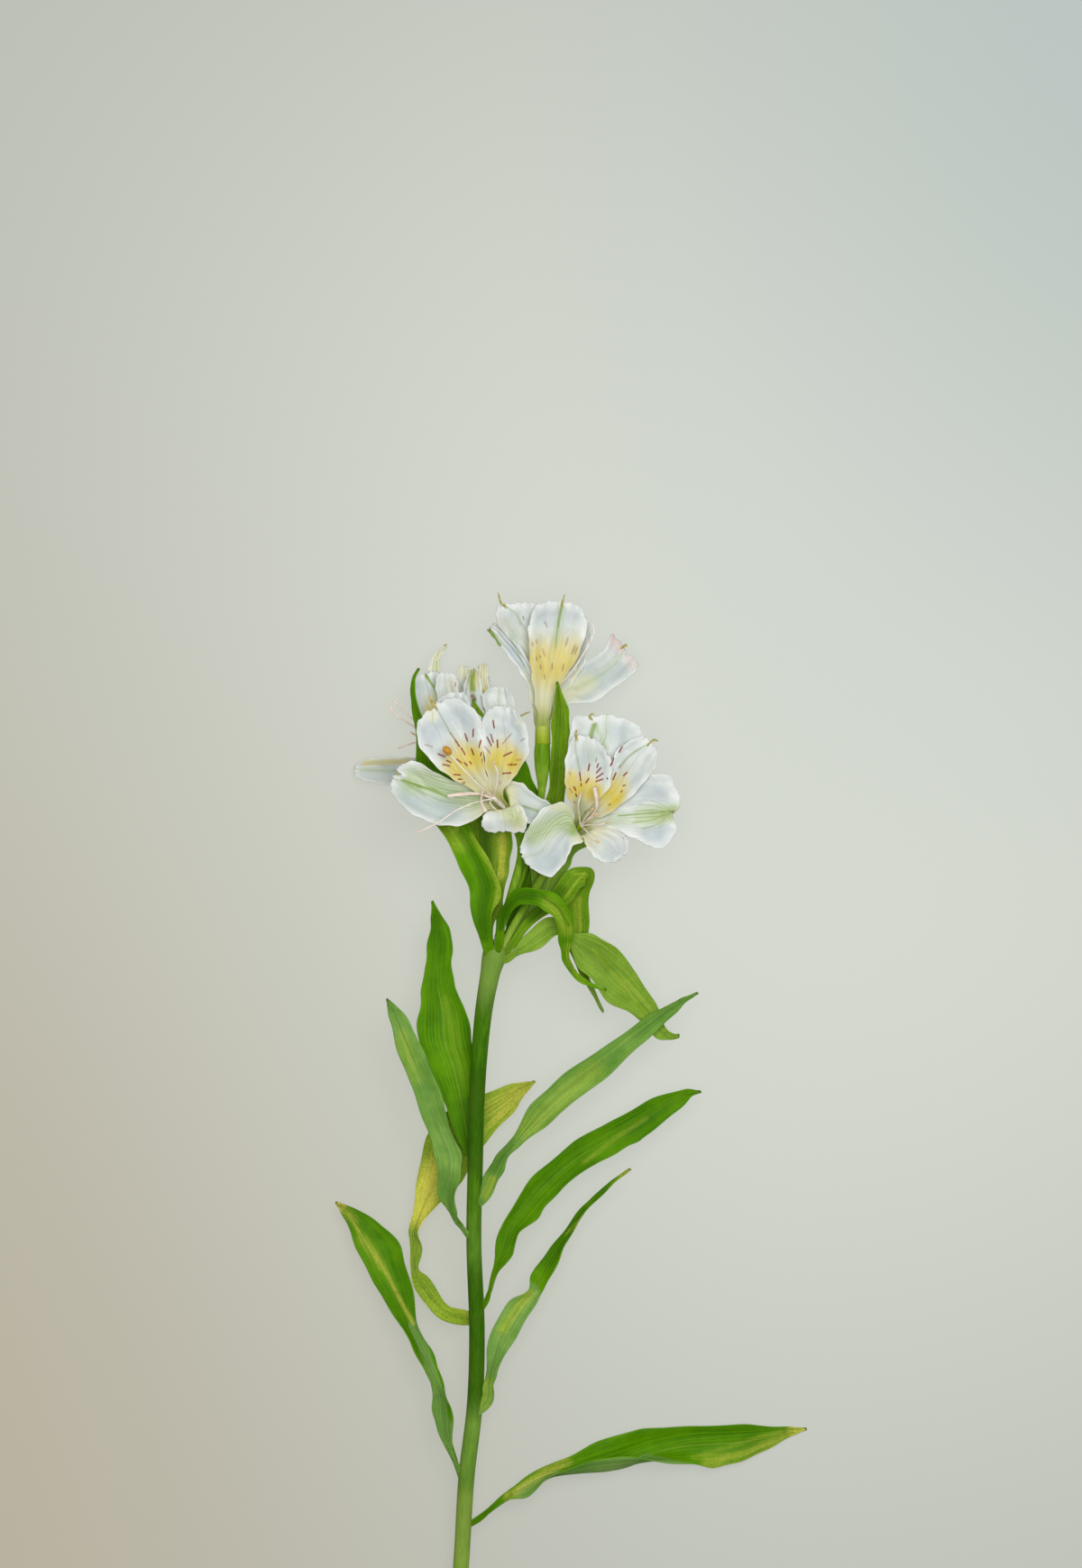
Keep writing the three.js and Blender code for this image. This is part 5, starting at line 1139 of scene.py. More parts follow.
for leaf_name, leaf_ribs in {**LEAVES, **BRACTS}.items():
    make_leaf(leaf_name, leaf_ribs)


# ---------------------------------------------------------------- stem and flower stalks

STEM_TINTS = ("bloom", "deep", "fresh")
RIND = 0.45  # the green rind round the pith of the cut end, millimetres

# Tints along the stem: (tint, strength, from y, to y). The deep bands are painted shade.
STEM_BANDS = (
    ("bloom", 0.8, -14, 4), ("deep", 0.5, -40, -22), ("deep", 0.95, -78, -46),
    ("deep", 0.4, -102, -84), ("bloom", 0.25, -116, -106), ("deep", 0.9, -164, -122),
    ("bloom", 0.5, -194, -172), ("deep", 0.4, -214, -200),
    ("fresh", 0.35, -320, -206),
)
BAND_FADES = 13.0  # over how many millimetres a band's ends fade


def limb_piece(name, stations, node, slot, finishes, paint, around=24, per_span=8, cut=False, **lobes):
    """A limb in place of a packed one, with its tints painted by height along the plant. cut gives
    its first end the second finish inside a rind of the first."""
    bm = open_mesh(*STEM_TINTS)
    for vert in roll_limb(bm, stations, around, per_span, **lobes):
        dye(bm, vert, paint(vert.co))
    if cut:
        end = min(bm.faces, key=lambda face: face.calc_center_median().y)
        bmesh.ops.inset_region(bm, faces=[end], thickness=RIND, depth=0.0, use_even_offset=True)
        end.material_index = 1
    return finished(name, bm, node, finishes)


def stem_paint(place):
    """Waxy bands at the joints, painted shade on the shaded lengths between them and younger green low down.
    """
    tints = dict.fromkeys(STEM_TINTS, 0.0)
    for name, strength, start, end in STEM_BANDS:
        past_start = smooth_step(place.y, start - BAND_FADES, start)
        short_of_end = smooth_step(place.y, end + BAND_FADES, end)
        tints[name] = max(tints[name], strength * min(past_start, short_of_end))
    return tints


def stalk_paint(place):
    """Flower stalks are yellower where they leave the crown."""
    return {"fresh": smooth_step(place.y, 14, 2) * 0.5}


limb_piece("stem_skin", STEM, "stem", "stem", [STEM_SKIN, CUT_PITH], stem_paint, around=32, cut=True)


# ---------------------------------------------------------------- blooms

# Of these, the lilac tint is painted shade and rim is painted light on margins and tips.
PETAL_TINTS = ("throat", "keel", "leafy", "cream", "lilac", "rim", "blush", "rust", "mark")
YELLOW = {("top", "inner_left"): 0.2, ("top", "inner_right"): 0.4}  # petals with a fainter yellow throat
ROOT_GREEN = 0.42  # how green a petal is at its root
DASH_WIDTH = 0.27  # half a dash across, millimetres
FAINT = 0.5  # how dark a faint dash is beside a full one
GATHER = 0.8  # how far a petal's veins are drawn together at its tip
FRILL = 0.35  # how far a petal's outline wanders, millimetres
PETAL_FURROW, PETAL_WAVE, PETAL_CRINKLE = 0.14, 1.3, 0.2  # how high each stands, millimetres
DASH_NEAR = 5  # a dash is looked for this far from its start in x and in y, millimetres
DASH_OUTER, DASH_CORE = 1.25, 0.7  # where a dash ends and where it is full, as shares of its width

# The nip in the end of a petal: its depth in millimetres, and where across, -1 to 1.
NOTCHES = {
    ("right", "outer_right"): (3.2, 0.1),
    ("right", "outer_top"): (1.4, -0.4),
    ("front", "outer_left"): (2.6, 0.35),
    ("front", "inner_left"): (0.8, -0.2),
    ("top", "outer_right"): (1.6, 0.2),
}

# Red-brown dashes on a bloom's upper inner petals, each a line [x, y, x, y]; faint ones come last.
DASHES = {
    "right": [
        [29.4, 60.9, 30.1, 59.6], [30.1, 58.3, 30.4, 57.5], [31.4, 66.2, 31.9, 63.0],
        [32.0, 62.0, 32.0, 61.1], [35.2, 69.2, 34.7, 66.9], [34.9, 63.9, 33.9, 62.4],
        [38.4, 69.3, 38.0, 68.0], [39.4, 67.7, 37.8, 66.0], [40.2, 65.8, 37.8, 64.1],
        [40.1, 63.6, 37.6, 62.8], [47.0, 75.6, 46.0, 73.5], [43.8, 71.4, 42.9, 68.6],
        [44.9, 66.0, 43.8, 63.4], [48.9, 66.0, 47.6, 64.8], [48.4, 61.4, 47.5, 61.2],
        [47.2, 59.3, 46.8, 58.8], [41.9, 64.0, 41.8, 63.6], [42.8, 54.4, 42.7, 54.1],
    ],
    "front": [
        [-20.6, 72.8, -18.1, 71.9], [-17.5, 70.5, -15.9, 69.8], [-18.9, 69.0, -16.4, 68.4],
        [-13.7, 70.9, -12.0, 69.7], [-14.7, 65.2, -12.7, 65.2], [-13.0, 63.6, -11.8, 63.5],
        [-11.5, 62.2, -10.9, 62.2], [-14.1, 78.1, -12.6, 75.6], [-12.0, 75.0, -10.6, 72.6],
        [-10.5, 80.3, -9.6, 77.7], [-7.5, 82.0, -7.6, 79.3], [-8.2, 74.9, -7.3, 72.6],
        [-4.9, 77.7, -5.4, 75.4], [-4.4, 73.5, -4.7, 72.3], [-10.8, 69.7, -9.8, 68.7],
        [-8.9, 70.1, -8.3, 69.3], [-0.4, 85.0, 0.0, 82.4], [-1.2, 80.1, -0.2, 77.1],
        [-2.6, 79.0, -1.0, 75.9], [1.2, 78.0, 1.3, 75.3], [6.6, 73.6, 3.6, 72.1],
        [8.4, 69.0, 5.2, 68.9], [6.3, 65.9, 3.5, 65.8],
    ],
    "top": [],
    "back_left": [],
    "back": [],
}
FAINT_DASHES = {
    "right": [
        [27.6, 66.0, 27.9, 65.4], [28.5, 59.1, 28.7, 58.8], [27.6, 60.2, 28.0, 59.7],
        [37.8, 71.4, 37.5, 70.1], [41.5, 73.5, 41.7, 72.6], [46.4, 68.5, 45.8, 67.7],
        [29.3, 55.4, 29.8, 55.0],
    ],
    "front": [
        [-25.3, 76.3, -22.7, 75.4], [-16.0, 80.6, -14.1, 78.1], [-4.2, 71.1, -4.1, 69.9],
        [-7.7, 63.9, -7.1, 63.9], [-3.4, 75.6, -1.4, 73.0], [6.4, 80.3, 3.3, 76.7],
        [10.1, 70.8, 8.3, 70.6], [11.5, 78.6, 10.1, 77.7], [2.5, 62.7, 2.4, 62.1],
    ],
    "top": [
        [10.7, 123.7, 10.9, 122.6], [12.8, 120.9, 13.0, 120.3], [18.6, 121.6, 19.6, 119.5],
        [15.6, 115.0, 15.8, 113.8], [14.2, 113.8, 14.4, 112.8], [17.9, 111.2, 18.9, 108.7],
        [15.8, 108.7, 15.9, 107.4], [17.1, 109.0, 17.2, 108.4], [17.2, 105.6, 17.4, 104.1],
        [21.5, 106.1, 21.5, 104.2], [25.7, 106.1, 25.2, 103.8], [18.6, 102.3, 18.7, 100.9],
        [27.2, 115.5, 26.5, 113.0], [29.9, 112.8, 28.6, 110.0], [30.5, 112.0, 29.6, 109.7],
    ],
    "back_left": [[-14.4, 99.3, -14.4, 97.9], [-22.5, 88.0, -22.0, 86.0], [-18.0, 92.0, -17.6, 90.0]],
    "back": [],
}
DASHED = {
    "right": ("inner_left", "inner_right"),
    "front": ("inner_left", "inner_right"),
    "top": ("inner_left", "inner_right", "outer_top"),
    "back_left": ("inner_left", "inner_right"),
    "back": (),
}

# Quads across a petal and along each of its spans: finer where it carries dashes.
PETAL_GRIDS = {
    "right": (96, 26), "front": (96, 26), "top": (84, 20), "back_left": (60, 18), "plain": (48, 15),
    "lined": (96, 15),
}
LINED = {"right": ("outer_right",), "front": ("outer_left",)}

# Lines of colour on one petal or on all of a bloom: (petal, tint, radius, strength, [x, y] points).
# Lilac lines are painted shade and rim lines painted light.
PETAL_STROKES = {
    "right": [
        ("outer_right", "keel", 5.5, 1.0, [[67, 51.3], [62, 50.6], [54, 49.6]]),
        ("outer_right", "leafy", 5.0, 0.18, [[66, 51.2], [58, 50]]),
        ("outer_right", "keel", 4.0, 0.5, [[54, 49.6], [44, 48.6]]),
        ("outer_right", "leafy", 0.42, 0.35, [[67.7, 51.7], [62.9, 53.7], [58.1, 55.8]]),
        ("outer_right", "leafy", 0.42, 0.5, [[67.6, 51.6], [63.5, 52.8], [58.7, 54], [53.3, 54.3]]),
        ("outer_right", "leafy", 0.5, 0.8, [[67.6, 51.5], [59.3, 51.3], [53.3, 50.7], [46, 50.2]]),
        ("outer_right", "leafy", 0.45, 0.65, [[67.4, 51.1], [60.5, 49.2], [55.7, 48], [50.9, 47.4]]),
        ("outer_right", "leafy", 0.42, 0.55, [[67.4, 50.7], [62.3, 48], [58.1, 46.2], [54.5, 45.3]]),
        ("outer_right", "leafy", 0.4, 0.4, [[67.1, 50.4], [63.5, 47.7], [60.5, 45.6]]),
        ("outer_right", "throat", 3.2, 0.5, [[67, 51], [60, 49.6]]),
        ("outer_right", "lilac", 8.0, 0.9, [[58, 43], [66, 45]]),
        ("outer_right", "lilac", 7.0, 0.8, [[56, 59], [62, 58]]),
        ("outer_right", "rust", 0.7, 1.0, [[67.8, 51.6], [68.4, 51]]),
        ("outer_left", "keel", 6.5, 0.95, [[27, 48.4], [21, 47], [15, 43]]),
        ("outer_left", "leafy", 6.0, 0.1, [[27, 48.4], [21, 47], [15, 43]]),
        ("outer_left", "leafy", 3.5, 0.15, [[27, 53], [22, 54]]),
        ("outer_left", "leafy", 0.5, 0.4, [[29, 47.8], [22, 46.6], [14, 43.2]]),
        ("outer_left", "leafy", 0.4, 0.3, [[28, 46.6], [20, 44.2], [13, 41.6]]),
        ("outer_left", "lilac", 7.0, 0.7, [[14, 35], [20, 33], [24, 38]]),
        ("outer_left", "cream", 3.5, 0.8, [[27, 53], [22, 54]]),
        ("inner_left", "throat", 5.0, 0.9, [[28, 58], [28.4, 64]]),
        ("outer_top", "leafy", 1.5, 0.85, [[36.9, 84.4], [35.8, 80], [35, 76]]),
        ("outer_top", "keel", 1.4, 0.8, [[37.2, 84.4], [39.4, 79], [41, 75]]),
        ("outer_top", "lilac", 8.0, 0.5, [[46, 82], [52, 80]]),
        ("inner_right", "leafy", 0.6, 0.55, [[59.6, 77.6], [56, 76.2], [52, 74], [49, 71.5], [46.4, 68.4]]),
        ("inner_left", "leafy", 0.7, 0.4, [[30, 78.6], [29.9, 76], [30.4, 72], [31.4, 67]]),
        ("inner_left", "keel", 3.0, 0.2, [[34, 76], [36, 72]]),
        ("inner_low", "lilac", 4.0, 0.6, [[44, 36], [48, 38]]),
        ("all", "leafy", 3.8, 0.8, [[29, 44.6], [31.6, 47.2]]),
        ("inner_left", "leafy", 4.0, 0.4, [[30.4, 48], [31.4, 54]]),
        ("inner_right", "leafy", 3.0, 0.3, [[33, 49], [36, 52]]),
    ],
    "front": [
        ("outer_left", "keel", 7.5, 1.0, [[-30, 63], [-24, 62.5], [-16, 59.5], [-8, 56.5]]),
        ("outer_left", "leafy", 8.0, 0.1, [[-35, 58], [-27, 54], [-16, 52]]),
        ("outer_left", "leafy", 0.9, 0.9, [[-33.6, 63.2], [-28, 61.2], [-22, 59.4], [-17, 57]]),
        ("outer_left", "leafy", 0.5, 0.5, [[-33, 62.6], [-29.5, 60], [-25, 57.6]]),
        ("outer_left", "leafy", 0.4, 0.3, [[-30, 61.2], [-20, 60.4], [-12, 58.6]]),
        ("outer_left", "lilac", 8.0, 0.9, [[-35, 58], [-27, 53], [-16, 52]]),
        ("inner_left", "leafy", 0.5, 0.4, [[-21.5, 90.5], [-19, 86], [-16, 80.6], [-14, 78]]),
        ("inner_left", "leafy", 0.4, 0.25, [[-23, 89], [-22.7, 85], [-20, 80]]),
        ("inner_left", "cream", 2.5, 0.6, [[-22.5, 90.5], [-23, 86]]),
        ("inner_left", "lilac", 8.0, 0.95, [[-25, 80], [-16, 88], [-9, 86]]),
        ("inner_left", "cream", 7.0, 1.0, [[-8, 60], [-3, 57], [2, 55]]),
        ("inner_right", "cream", 5.0, 0.9, [[-1, 60], [2, 56]]),
        ("inner_right", "cream", 1.2, 0.5, [[8.5, 84], [11, 87]]),
        ("inner_right", "lilac", 5.0, 0.35, [[6, 84], [10, 74]]),
        ("outer_right", "cream", 6.0, 1.0, [[4, 58], [6, 50]]),
        ("outer_right", "leafy", 0.9, 0.6, [[8, 52], [11, 53.5], [16, 52]]),
        # painted light that lifts a shaded spot on this petal
        ("outer_right", "rim", 4.5, 0.7, [[12, 56], [15, 55]]),
        ("inner_low", "cream", 4.0, 0.9, [[3, 53], [8, 52]]),
        ("inner_low", "cream", 5.0, 1.0, [[5, 52], [9, 48]]),
        ("inner_low", "keel", 3.4, 0.4, [[6, 52.5], [8.5, 48.5]]),
        ("inner_low", "leafy", 5.0, 0.24, [[4, 51], [8, 48.5]]),
        ("inner_left", "leafy", 5.0, 0.12, [[-8, 63], [-5, 60]]),
        ("inner_low", "leafy", 0.45, 0.5, [[8.8, 48.6], [6.2, 50.8]]),
        ("inner_low", "leafy", 0.45, 0.5, [[8.9, 48.8], [7.8, 52.4]]),
        ("inner_low", "leafy", 0.45, 0.4, [[9, 48.8], [9.8, 51.8]]),
    ],
    "top": [
        ("outer_top", "leafy", 0.7, 0.8, [[25.2, 128.6], [24.2, 123.5], [23.6, 119.5]]),
        ("outer_top", "leafy", 0.7, 0.35, [[23.6, 119.5], [23, 115], [22.8, 112]]),
        ("outer_top", "keel", 2.4, 0.45, [[25, 127], [23.8, 120], [23, 114]]),
        ("outer_top", "throat", 14.0, 0.85, [[17, 107], [21, 106], [26, 108]]),
        ("all", "cream", 10.0, 0.95, [[18, 84], [19, 94], [20, 99]]),
        ("all", "throat", 9.0, 0.6, [[18, 80], [18, 85]]),
        ("all", "throat", 4.6, 1.0, [[18, 80], [18, 84]]),
        ("all", "leafy", 3.4, 0.64, [[18, 81], [18, 84]]),
        ("all", "leafy", 7.0, 0.5, [[18, 80], [18, 84]]),
        ("outer_top", "lilac", 5.0, 0.6, [[18, 124], [30, 124]]),
        ("inner_left", "leafy", 0.6, 0.45, [[3.4, 127.6], [8, 125], [10, 121]]),
        ("inner_left", "blush", 5.0, 0.3, [[2.5, 121], [5, 118]]),
        # painted shade: this faint green wash greys the end of the inner left petal
        ("inner_left", "leafy", 5.0, 0.16, [[3, 121], [7, 117]]),
        ("outer_left", "lilac", 4.0, 0.9, [[7, 111], [9, 105]]),
        ("outer_left", "leafy", 1.3, 1.3, [[-2.4, 119.4], [-0.4, 115.8], [1.8, 113]]),
        ("outer_left", "leafy", 0.6, 0.35, [[5.2, 117.6], [8, 112.4], [10.6, 106], [13, 99.5]]),
        ("outer_left", "rust", 1.0, 1.0, [[-2.6, 120.2], [-2, 119]]),
        ("outer_right", "blush", 5.0, 0.9, [[44, 117], [47, 113]]),
        ("outer_right", "keel", 2.2, 0.35, [[30, 97], [38, 101], [46, 109]]),
        ("outer_right", "cream", 6.0, 0.8, [[27, 95], [34, 99]]),
        ("outer_right", "blush", 4.0, 0.6, [[50, 110], [51.4, 106.4]]),
        ("outer_right", "rust", 0.9, 0.9, [[48.4, 113], [49, 112.4]]),
    ],
    "back_left": [
        ("outer_left", "throat", 1.8, 0.6, [[-48, 69.6], [-42, 70], [-32, 70.4]]),
        ("outer_left", "keel", 1.6, 0.5, [[-49, 67.2], [-40, 67], [-34, 66]]),
        ("outer_left", "lilac", 4.0, 0.4, [[-48, 65], [-38, 64]]),
        ("inner_left", "leafy", 0.8, 1.0, [[-25.4, 102.4], [-24, 100], [-22, 97.4], [-20, 94]]),
        ("inner_left", "cream", 2.2, 0.8, [[-22, 95], [-20.5, 93.5]]),
        ("inner_right", "cream", 3.0, 0.5, [[-16, 99], [-15, 95]]),
        ("outer_top", "cream", 6.0, 0.9, [[-21, 103], [-20, 109], [-18.4, 112.4]]),
        ("outer_top", "keel", 1.2, 0.8, [[-21.4, 102], [-21.4, 107]]),
    ],
    "back": [
        ("outer_top", "leafy", 1.7, 0.85, [[-7.8, 103.4], [-8.4, 99.4], [-8, 96.8]]),
        ("outer_top", "throat", 2.6, 0.8, [[-7.6, 101.4], [-7.8, 97.4]]),
        ("outer_top", "rust", 1.2, 0.9, [[-8, 94.4], [-7.2, 93]]),
        ("inner_left", "cream", 5.0, 0.8, [[-12, 105], [-10, 102]]),
        ("inner_right", "cream", 6.0, 1.0, [[-5, 105], [-4.6, 97]]),
        # painted light that lifts this petal out of its shade
        ("outer_right", "rim", 5.0, 0.8, [[0, 94], [4, 92]]),
    ],
}


def petal_painter(bloom, role):
    """Paints one petal: upper inner ones have a yellow throat and dashes, outer ones a green keel."""
    inner_low, outer = role == "inner_low", role.startswith("outer")
    dashed = role in DASHED[bloom]
    dashes = [(line, 1.0) for line in DASHES[bloom]] + [(line, FAINT) for line in FAINT_DASHES[bloom]]
    strokes = [stroke[1:] for stroke in PETAL_STROKES[bloom] if stroke[0] in (role, "all")]

    def paint(u, s, place):
        side = abs(s)
        tints = dict.fromkeys(PETAL_TINTS, 0.0)
        # painted light on every petal's margins and tip
        tints["rim"] = max(smooth_step(side, 0.7, 1.0), smooth_step(u, 0.88, 1.0))
        if outer:
            tints["keel"] = max(
                0.3 * smooth_step(side, 0.16, 0.03) * smooth_step(u, 0.25, 0.9),
                0.5 * smooth_step(u, 0.4, 0.12),
            )
            tints["throat"] = 0.15 * smooth_step(u, 0.5, 0.15)
            tints["cream"] = 0.8 * smooth_step(u, 0.5, 0.2)
        elif inner_low:
            tints["throat"] = 0.15 * smooth_step(u, 0.6, 0.2)
            tints["cream"] = 0.8 * smooth_step(u, 0.7, 0.3)
        else:
            reach = 1.6 - 1.1 * smooth_step(u, 0.45, 0.8)
            deep = smooth_step(u, 0.82, 0.52) * smooth_step(side, reach, reach - 0.8)
            tints["throat"] = deep * (0.2 + 0.8 * smooth_step(u, 0.32, 0.52)) * YELLOW.get((bloom, role), 1.0)
            tints["cream"] = smooth_step(u, 0.45, 0.25)
        tints["leafy"] = ROOT_GREEN * smooth_step(u, 0.27, 0.12)
        tints["throat"] = max(tints["throat"], 0.7 * smooth_step(u, 0.3, 0.14))
        brush_on(tints, place, strokes)
        if dashed:
            for (ax, ay, bx, by), strength in dashes:
                if abs(place.x - ax) < DASH_NEAR and abs(place.y - ay) < DASH_NEAR:
                    off = from_line(place.x, place.y, [[ax, ay], [bx, by]])
                    covered = strength * smooth_step(off, DASH_WIDTH * DASH_OUTER, DASH_WIDTH * DASH_CORE)
                    tints["mark"] = max(tints["mark"], covered)
        return tints

    return paint


def petal_ripple(u, s, place):
    """The furrows along a petal, and its soft crinkle towards the margin and the tip."""
    wave = noise.noise(Vector((place.x * 0.16, place.y * 0.16, place.z * 0.1)))
    fine = noise.noise(Vector((place.x * 0.5, place.y * 0.5, 9.1)))
    edge = max(abs(s) ** 3, smooth_step(u, 0.7, 1.0))
    furrows = PETAL_FURROW * math.sin(11 * s + 3 * wave) * smooth_step(u, 0.2, 0.5)
    return furrows + (PETAL_WAVE * wave + PETAL_CRINKLE * fine) * edge * smooth_step(u, 0.3, 0.7)


def make_petals(bloom, petals):
    """All six petals of a bloom in one piece. The dashed ones have a finer grid to carry the dashes."""
    bm = open_mesh(*PETAL_TINTS)
    for role, ribs in petals.items():
        blade = Blade(ribs)
        grid = "lined" if role in LINED.get(bloom, ()) else "plain"
        across, per_span = PETAL_GRIDS[bloom if role in DASHED[bloom] else grid]
        lay_blade(
            bm, blade, across, blade.spans * per_span, petal_ripple, petal_painter(bloom, role),
            GATHER, NOTCHES.get((bloom, role), (0.0, 0.0)), FRILL,
        )
    name = f"petals_{bloom}"
    finished(f"{name}_silk", bm, name, PETAL_FINISHES, WALL["petal"], THIN["petal"])


# Hooked tips: the petal each grows from, then where it goes on, with how far above the petal it
# has risen and its radius.
HOOKS = {
    "top": [
        ("inner_left", [4.0, 127.6, 0.1, 0.5], [2.6, 128.6, 0.3, 0.4],
         [2.0, 130.5, 0.7, 0.35], [1.5, 132.4, 1.1, 0.2]),
        ("outer_top", [25.2, 128.2, 0.1, 0.45], [25.6, 129.8, 0.3, 0.35], [26.0, 131.6, 0.6, 0.2]),
        ("outer_right", [47.8, 112.6, 0.1, 0.5], [48.8, 113.4, 0.3, 0.4], [49.2, 112.6, 0.5, 0.2]),
    ],
    "right": [
        ("outer_top", [36.2, 85.4, 0.2, 0.45], [35.2, 86.6, 0.7, 0.4],
         [36.2, 87.6, 1.1, 0.35], [37, 87.2, 1.1, 0.2]),
        ("inner_right", [58.4, 77.8, 0.1, 0.45], [59.4, 78, 0.3, 0.35], [60.4, 77.6, 0.4, 0.2]),
        ("inner_left", [30.1, 79.8, 0.1, 0.5], [30.2, 80.8, 0.2, 0.4], [30.4, 81.8, 0.3, 0.2]),
        ("inner_low", [49.4, 44.4, 0.2, 0.4], [50.4, 44.7, 0.4, 0.35], [51.6, 45.4, 0.6, 0.2]),
    ],
    "front": [
        ("inner_right", [9.4, 86.6, 0.1, 0.45], [11.4, 87.6, 0.4, 0.35], [13.4, 88.4, 0.6, 0.2]),
        ("inner_left", [-22.6, 92.0, 0.1, 0.5], [-23.6, 93.2, 0.3, 0.4], [-24.0, 94.2, 0.4, 0.2]),
        ("outer_left", [-34.4, 64.2, 0.1, 0.5], [-35.0, 65.2, 0.5, 0.35], [-34.9, 66.0, 0.7, 0.2]),
    ],
    "back_left": [("outer_top", [-18.8, 112.2, 0.0, 0.5],
     [-18.2, 113.2, 0.2, 0.35], [-17.6, 113.8, 0.2, 0.2])],
    "back": [("outer_top", [-8.0, 102.8, 0.1, 0.6], [-7.7, 103.8, 0.3, 0.4], [-7.5, 104.8, 0.4, 0.2])],
}


def make_hooks(bloom, petals):
    """The small hooked points that end some of a bloom's petals, each rooted in its petal."""
    bm = open_mesh(*STEM_TINTS)
    for role, *turns in HOOKS[bloom]:
        root = Blade(petals[role]).near_tip(*turns[0][:2])
        stations = [[x, y, root.z + risen, radius] for x, y, risen, radius in turns]
        roll_limb(bm, [[*root, turns[0][3]], *stations], *THREAD_GRID)
    name = f"petals_{bloom}"
    finished(f"{name}_hooks", bm, name, [HOOK_SKIN])


HEART_SINKS = 1.3  # how far the petals' base is drawn back into the ovary, millimetres
FILAMENT_GIRTH = 0.3  # the most that half a filament is across, millimetres
SWOLLEN_GIRTH = 0.8  # and half of a swollen one
COLUMN_GRID, THREAD_GRID = (12, 6), (10, 6)  # faces round, and along from one station to the next
LEAST_ANTHER = 0.6  # filaments that end in a station thinner than this carry no anther
ANTHER_SEGMENTS, ANTHER_RINGS = 14, 10
GREEN_COLUMNS = ("right",)  # blooms whose column is as green as their base
SWOLLEN = {"right": (1,), "front": (0, 3)}  # filaments that end as a flat swollen band, with no anther
RIPE = 1.3  # anthers of stations at least this thick are ripe and ochre; the others are pale
ANTHER_HALF = (0.6, 1.4, 0.5)  # half of an anther across, along and deep, as shares of its station's radius
RIPE_HALF = (0.95, 1.4, 0.6)  # and of a ripe one


def make_stamens(bloom, stamens):
    """The column, its filaments and the anthers on those that carry one."""
    name = f"stamens_{bloom}"
    threads = open_mesh(*STEM_TINTS)
    heads = open_mesh(*STEM_TINTS)
    column, *filaments = stamens
    rolled = roll_limb(threads, column, *COLUMN_GRID)
    if bloom in GREEN_COLUMNS:
        wear(rolled, 2)
    for number, stations in enumerate(filaments):
        swollen = number in SWOLLEN.get(bloom, ())
        girth = SWOLLEN_GIRTH if swollen else FILAMENT_GIRTH
        slim = [[*s[:3], min(s[3], girth)] for s in stations]
        rolled = roll_limb(threads, slim, *THREAD_GRID)
        if swollen:
            wear(rolled, 1)
        girth = max(stations[-1][3], stations[-2][3])
        if swollen or girth < LEAST_ANTHER:
            continue
        behind, end = Vector(stations[-2][:3]), Vector(stations[-1][:3])
        middle = end if stations[-2][3] < girth else (behind + end) / 2
        turned = (end - behind).to_track_quat("Y", "Z").to_matrix().to_4x4()
        across, along, deep = (share * girth for share in (RIPE_HALF if girth >= RIPE else ANTHER_HALF))
        stretched = Matrix.Diagonal((across, along, deep, 1.0))
        place = Matrix.Translation(middle) @ turned @ stretched
        ball = bmesh.ops.create_uvsphere(
            heads, u_segments=ANTHER_SEGMENTS, v_segments=ANTHER_RINGS, radius=1.0, matrix=place
        )
        wear(ball["verts"], 0 if girth >= RIPE else 1)
    skin = PEACH_FILAMENT if bloom == "back_left" else FILAMENT
    finished(f"{name}_filaments", threads, name, [skin, PEACH_FILAMENT, HEART_SKIN])
    if heads.verts:
        finished(f"{name}_anthers", heads, name, [ANTHER, PALE_ANTHER])


def sunk(stations, depth):
    """A limb's stations with its root drawn back by that depth into what carries it."""
    root, following = (Vector(station[:3]) for station in stations[:2])
    back = root + (root - following).normalized() * depth
    return [[*back, stations[0][3]], *stations[1:]]


def heart_painter(heart):
    """The base of the petals is bright olive where it meets the ovary and pales away from it."""
    root, end = Vector(heart[0][:3]), Vector(heart[-1][:3])

    def paint(place):
        away = (place - root).dot(end - root) / (end - root).length_squared
        return {
            "fresh": 0.15 + 0.85 * smooth_step(away, 0.1, 0.9),
            "deep": 0.12 * smooth_step(away, 0.3, 0.0),
        }

    return paint


for bloom, parts in BLOOMS.items():
    stalk, petals = f"stalk_{bloom}", f"petals_{bloom}"
    limb_piece(
        f"{stalk}_skin", parts["stalk"], stalk, "stem", [STALK_SKIN], stalk_paint,
        per_span=6, lobes=6, lobe_depth=0.09,
    )
    heart = sunk(parts["heart"], HEART_SINKS)
    limb_piece(f"{petals}_base", heart, petals, "petal", [HEART_SKIN], heart_painter(heart))
    make_petals(bloom, parts["petals"])
    make_hooks(bloom, parts["petals"])
    make_stamens(bloom, parts["stamens"])


# ---------------------------------------------------------------- floor, light and camera

VIEW_MIDDLE = Vector((17.33, 61.83, 30.0))  # the point under the camera, in the tables' millimetres
VIEW_HEIGHT = 579.67  # what the frame takes in from bottom to top there, millimetres
CAMERA_REACH = 5000.0  # how high over that point the camera hangs, millimetres
SENSOR = 36.0  # the camera's sensor, millimetres
FAR_CLIP = 20.0  # metres
FLOOR_HALF = 3.0  # half of the floor's side, metres
IMAGE_SHAPE = 1200 / 1739

view_point = (VIEW_MIDDLE + SHIFT) * MM
FLOOR_GLOW = 0.8  # the floor is a light table: this much of its brightness is its own
# the floor's painted pool of light is brightest here and dims away from it
PAINTED_LIGHT_POOL = Vector((0.093, 0.03, 0.0))  # where the floor is brightest, from the middle of the view


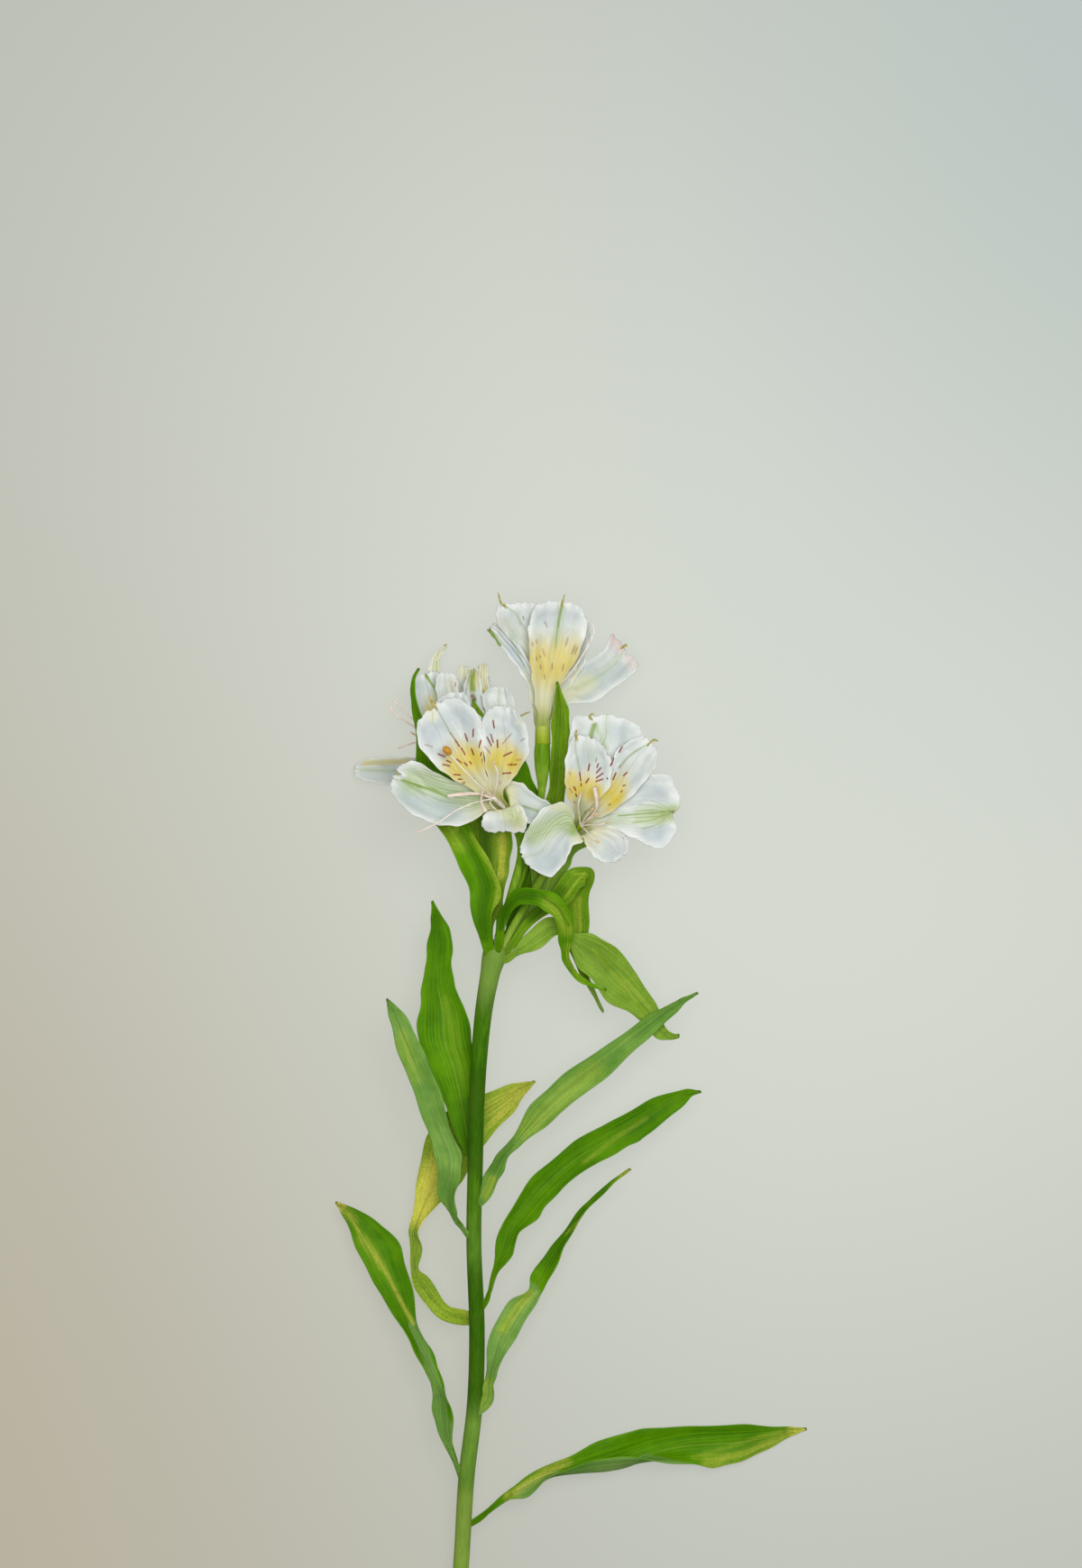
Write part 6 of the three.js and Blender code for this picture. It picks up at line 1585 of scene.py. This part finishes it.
# Soft boxes: the place from the middle of the view, the side, the power and the colour, in metres and
# watts. Then the even light: its strength and colour.
SOFT_BOXES = {
    "window": ((0.4, 0.45, 2.3), 1.1, 33.0, (0.97, 0.99, 1.0)),
    "reflector": ((-0.2, -0.1, 2.6), 0.9, 22.0, (1.0, 0.96, 0.9)),
}
EVEN_LIGHT = (0.24, (0.97, 0.98, 1.0))


def floor_finish():
    """Plain pale floor with painted light: a painted pool of light that dims away from a spot near the middle
    of the view, painted warm light towards the lower left and cool towards the upper right.
    """
    made, tree, shader, where = start_finish("pale floor")
    split = add(tree, "ShaderNodeSeparateXYZ")
    feed(tree, split.inputs[0], where)
    left = rise(tree, split.outputs[0], view_point.x + 0.1, view_point.x - 0.36)
    low = rise(tree, split.outputs[1], view_point.y + 0.3, view_point.y - 0.35)
    right = rise(tree, split.outputs[0], view_point.x - 0.05, view_point.x + 0.25)
    high = rise(tree, split.outputs[1], view_point.y - 0.1, view_point.y + 0.35)
    # painted pool of light: the floor darkens away from its brightest spot
    away = add(tree, "ShaderNodeVectorMath", operation="DISTANCE")
    feed(tree, away.inputs[0], where)
    away.inputs[1].default_value = view_point + PAINTED_LIGHT_POOL
    far = rise(tree, away.outputs["Value"], 0.05, 0.45)
    colour = blend(tree, far, rgb("d5d9d0"), rgb("bbbeb5"))
    # painted warm light towards the lower left and painted cool light towards the upper right
    colour = wash(tree, colour, left, low, "b8ac95")
    colour = wash(tree, colour, right, high, "b9c4c1")
    # the floor's own glow washes out the shadows cast on it
    feed(tree, shader.inputs["Base Color"], blend(tree, 1 - FLOOR_GLOW, rgb("000000"), colour))
    feed(tree, shader.inputs["Emission Color"], colour)
    set_values(shader, Emission_Strength=FLOOR_GLOW, Roughness=0.9, Specular_IOR_Level=0.1)
    return made


def lay_floor(half_side):
    """A wide plain floor under the stem."""
    bm = bmesh.new()
    bmesh.ops.create_grid(bm, x_segments=1, y_segments=1, size=half_side)
    floor = put("floor", mesh_from("floor", bm, [floor_finish()]))


def soft_light(name, place, size, power, colour):
    """A square soft box that faces the middle of the view."""
    lamp = bpy.data.lights.new(name, "AREA")
    lamp.shape = "SQUARE"
    lamp.size = size
    lamp.energy = power
    lamp.color = colour
    light = put(name, lamp)
    light.location = Vector(place) + view_point
    light.rotation_euler = (view_point - light.location).to_track_quat("-Z", "Y").to_euler()


def hang_camera():
    """Straight above the flower, looking down, with the stem's y axis up the frame."""
    lens = bpy.data.cameras.new("camera")
    lens.sensor_fit = "VERTICAL"
    lens.sensor_height = SENSOR
    lens.sensor_width = SENSOR * IMAGE_SHAPE
    lens.lens = SENSOR * CAMERA_REACH / VIEW_HEIGHT
    lens.clip_end = FAR_CLIP
    camera = put("camera", lens)
    camera.location = view_point + Vector((0, 0, CAMERA_REACH * MM))
    bpy.context.scene.camera = camera


def fill_light(strength, colour):
    """Even light from all round."""
    world = bpy.data.worlds.new("studio")
    world.use_nodes = True
    sky = world.node_tree.nodes["Background"]
    sky.inputs["Color"].default_value = (*colour, 1.0)
    sky.inputs["Strength"].default_value = strength
    bpy.context.scene.world = world


lay_floor(FLOOR_HALF)
for lamp_name, box in SOFT_BOXES.items():
    soft_light(lamp_name, *box)
fill_light(*EVEN_LIGHT)
hang_camera()
bpy.context.scene.view_settings.view_transform = "Standard"
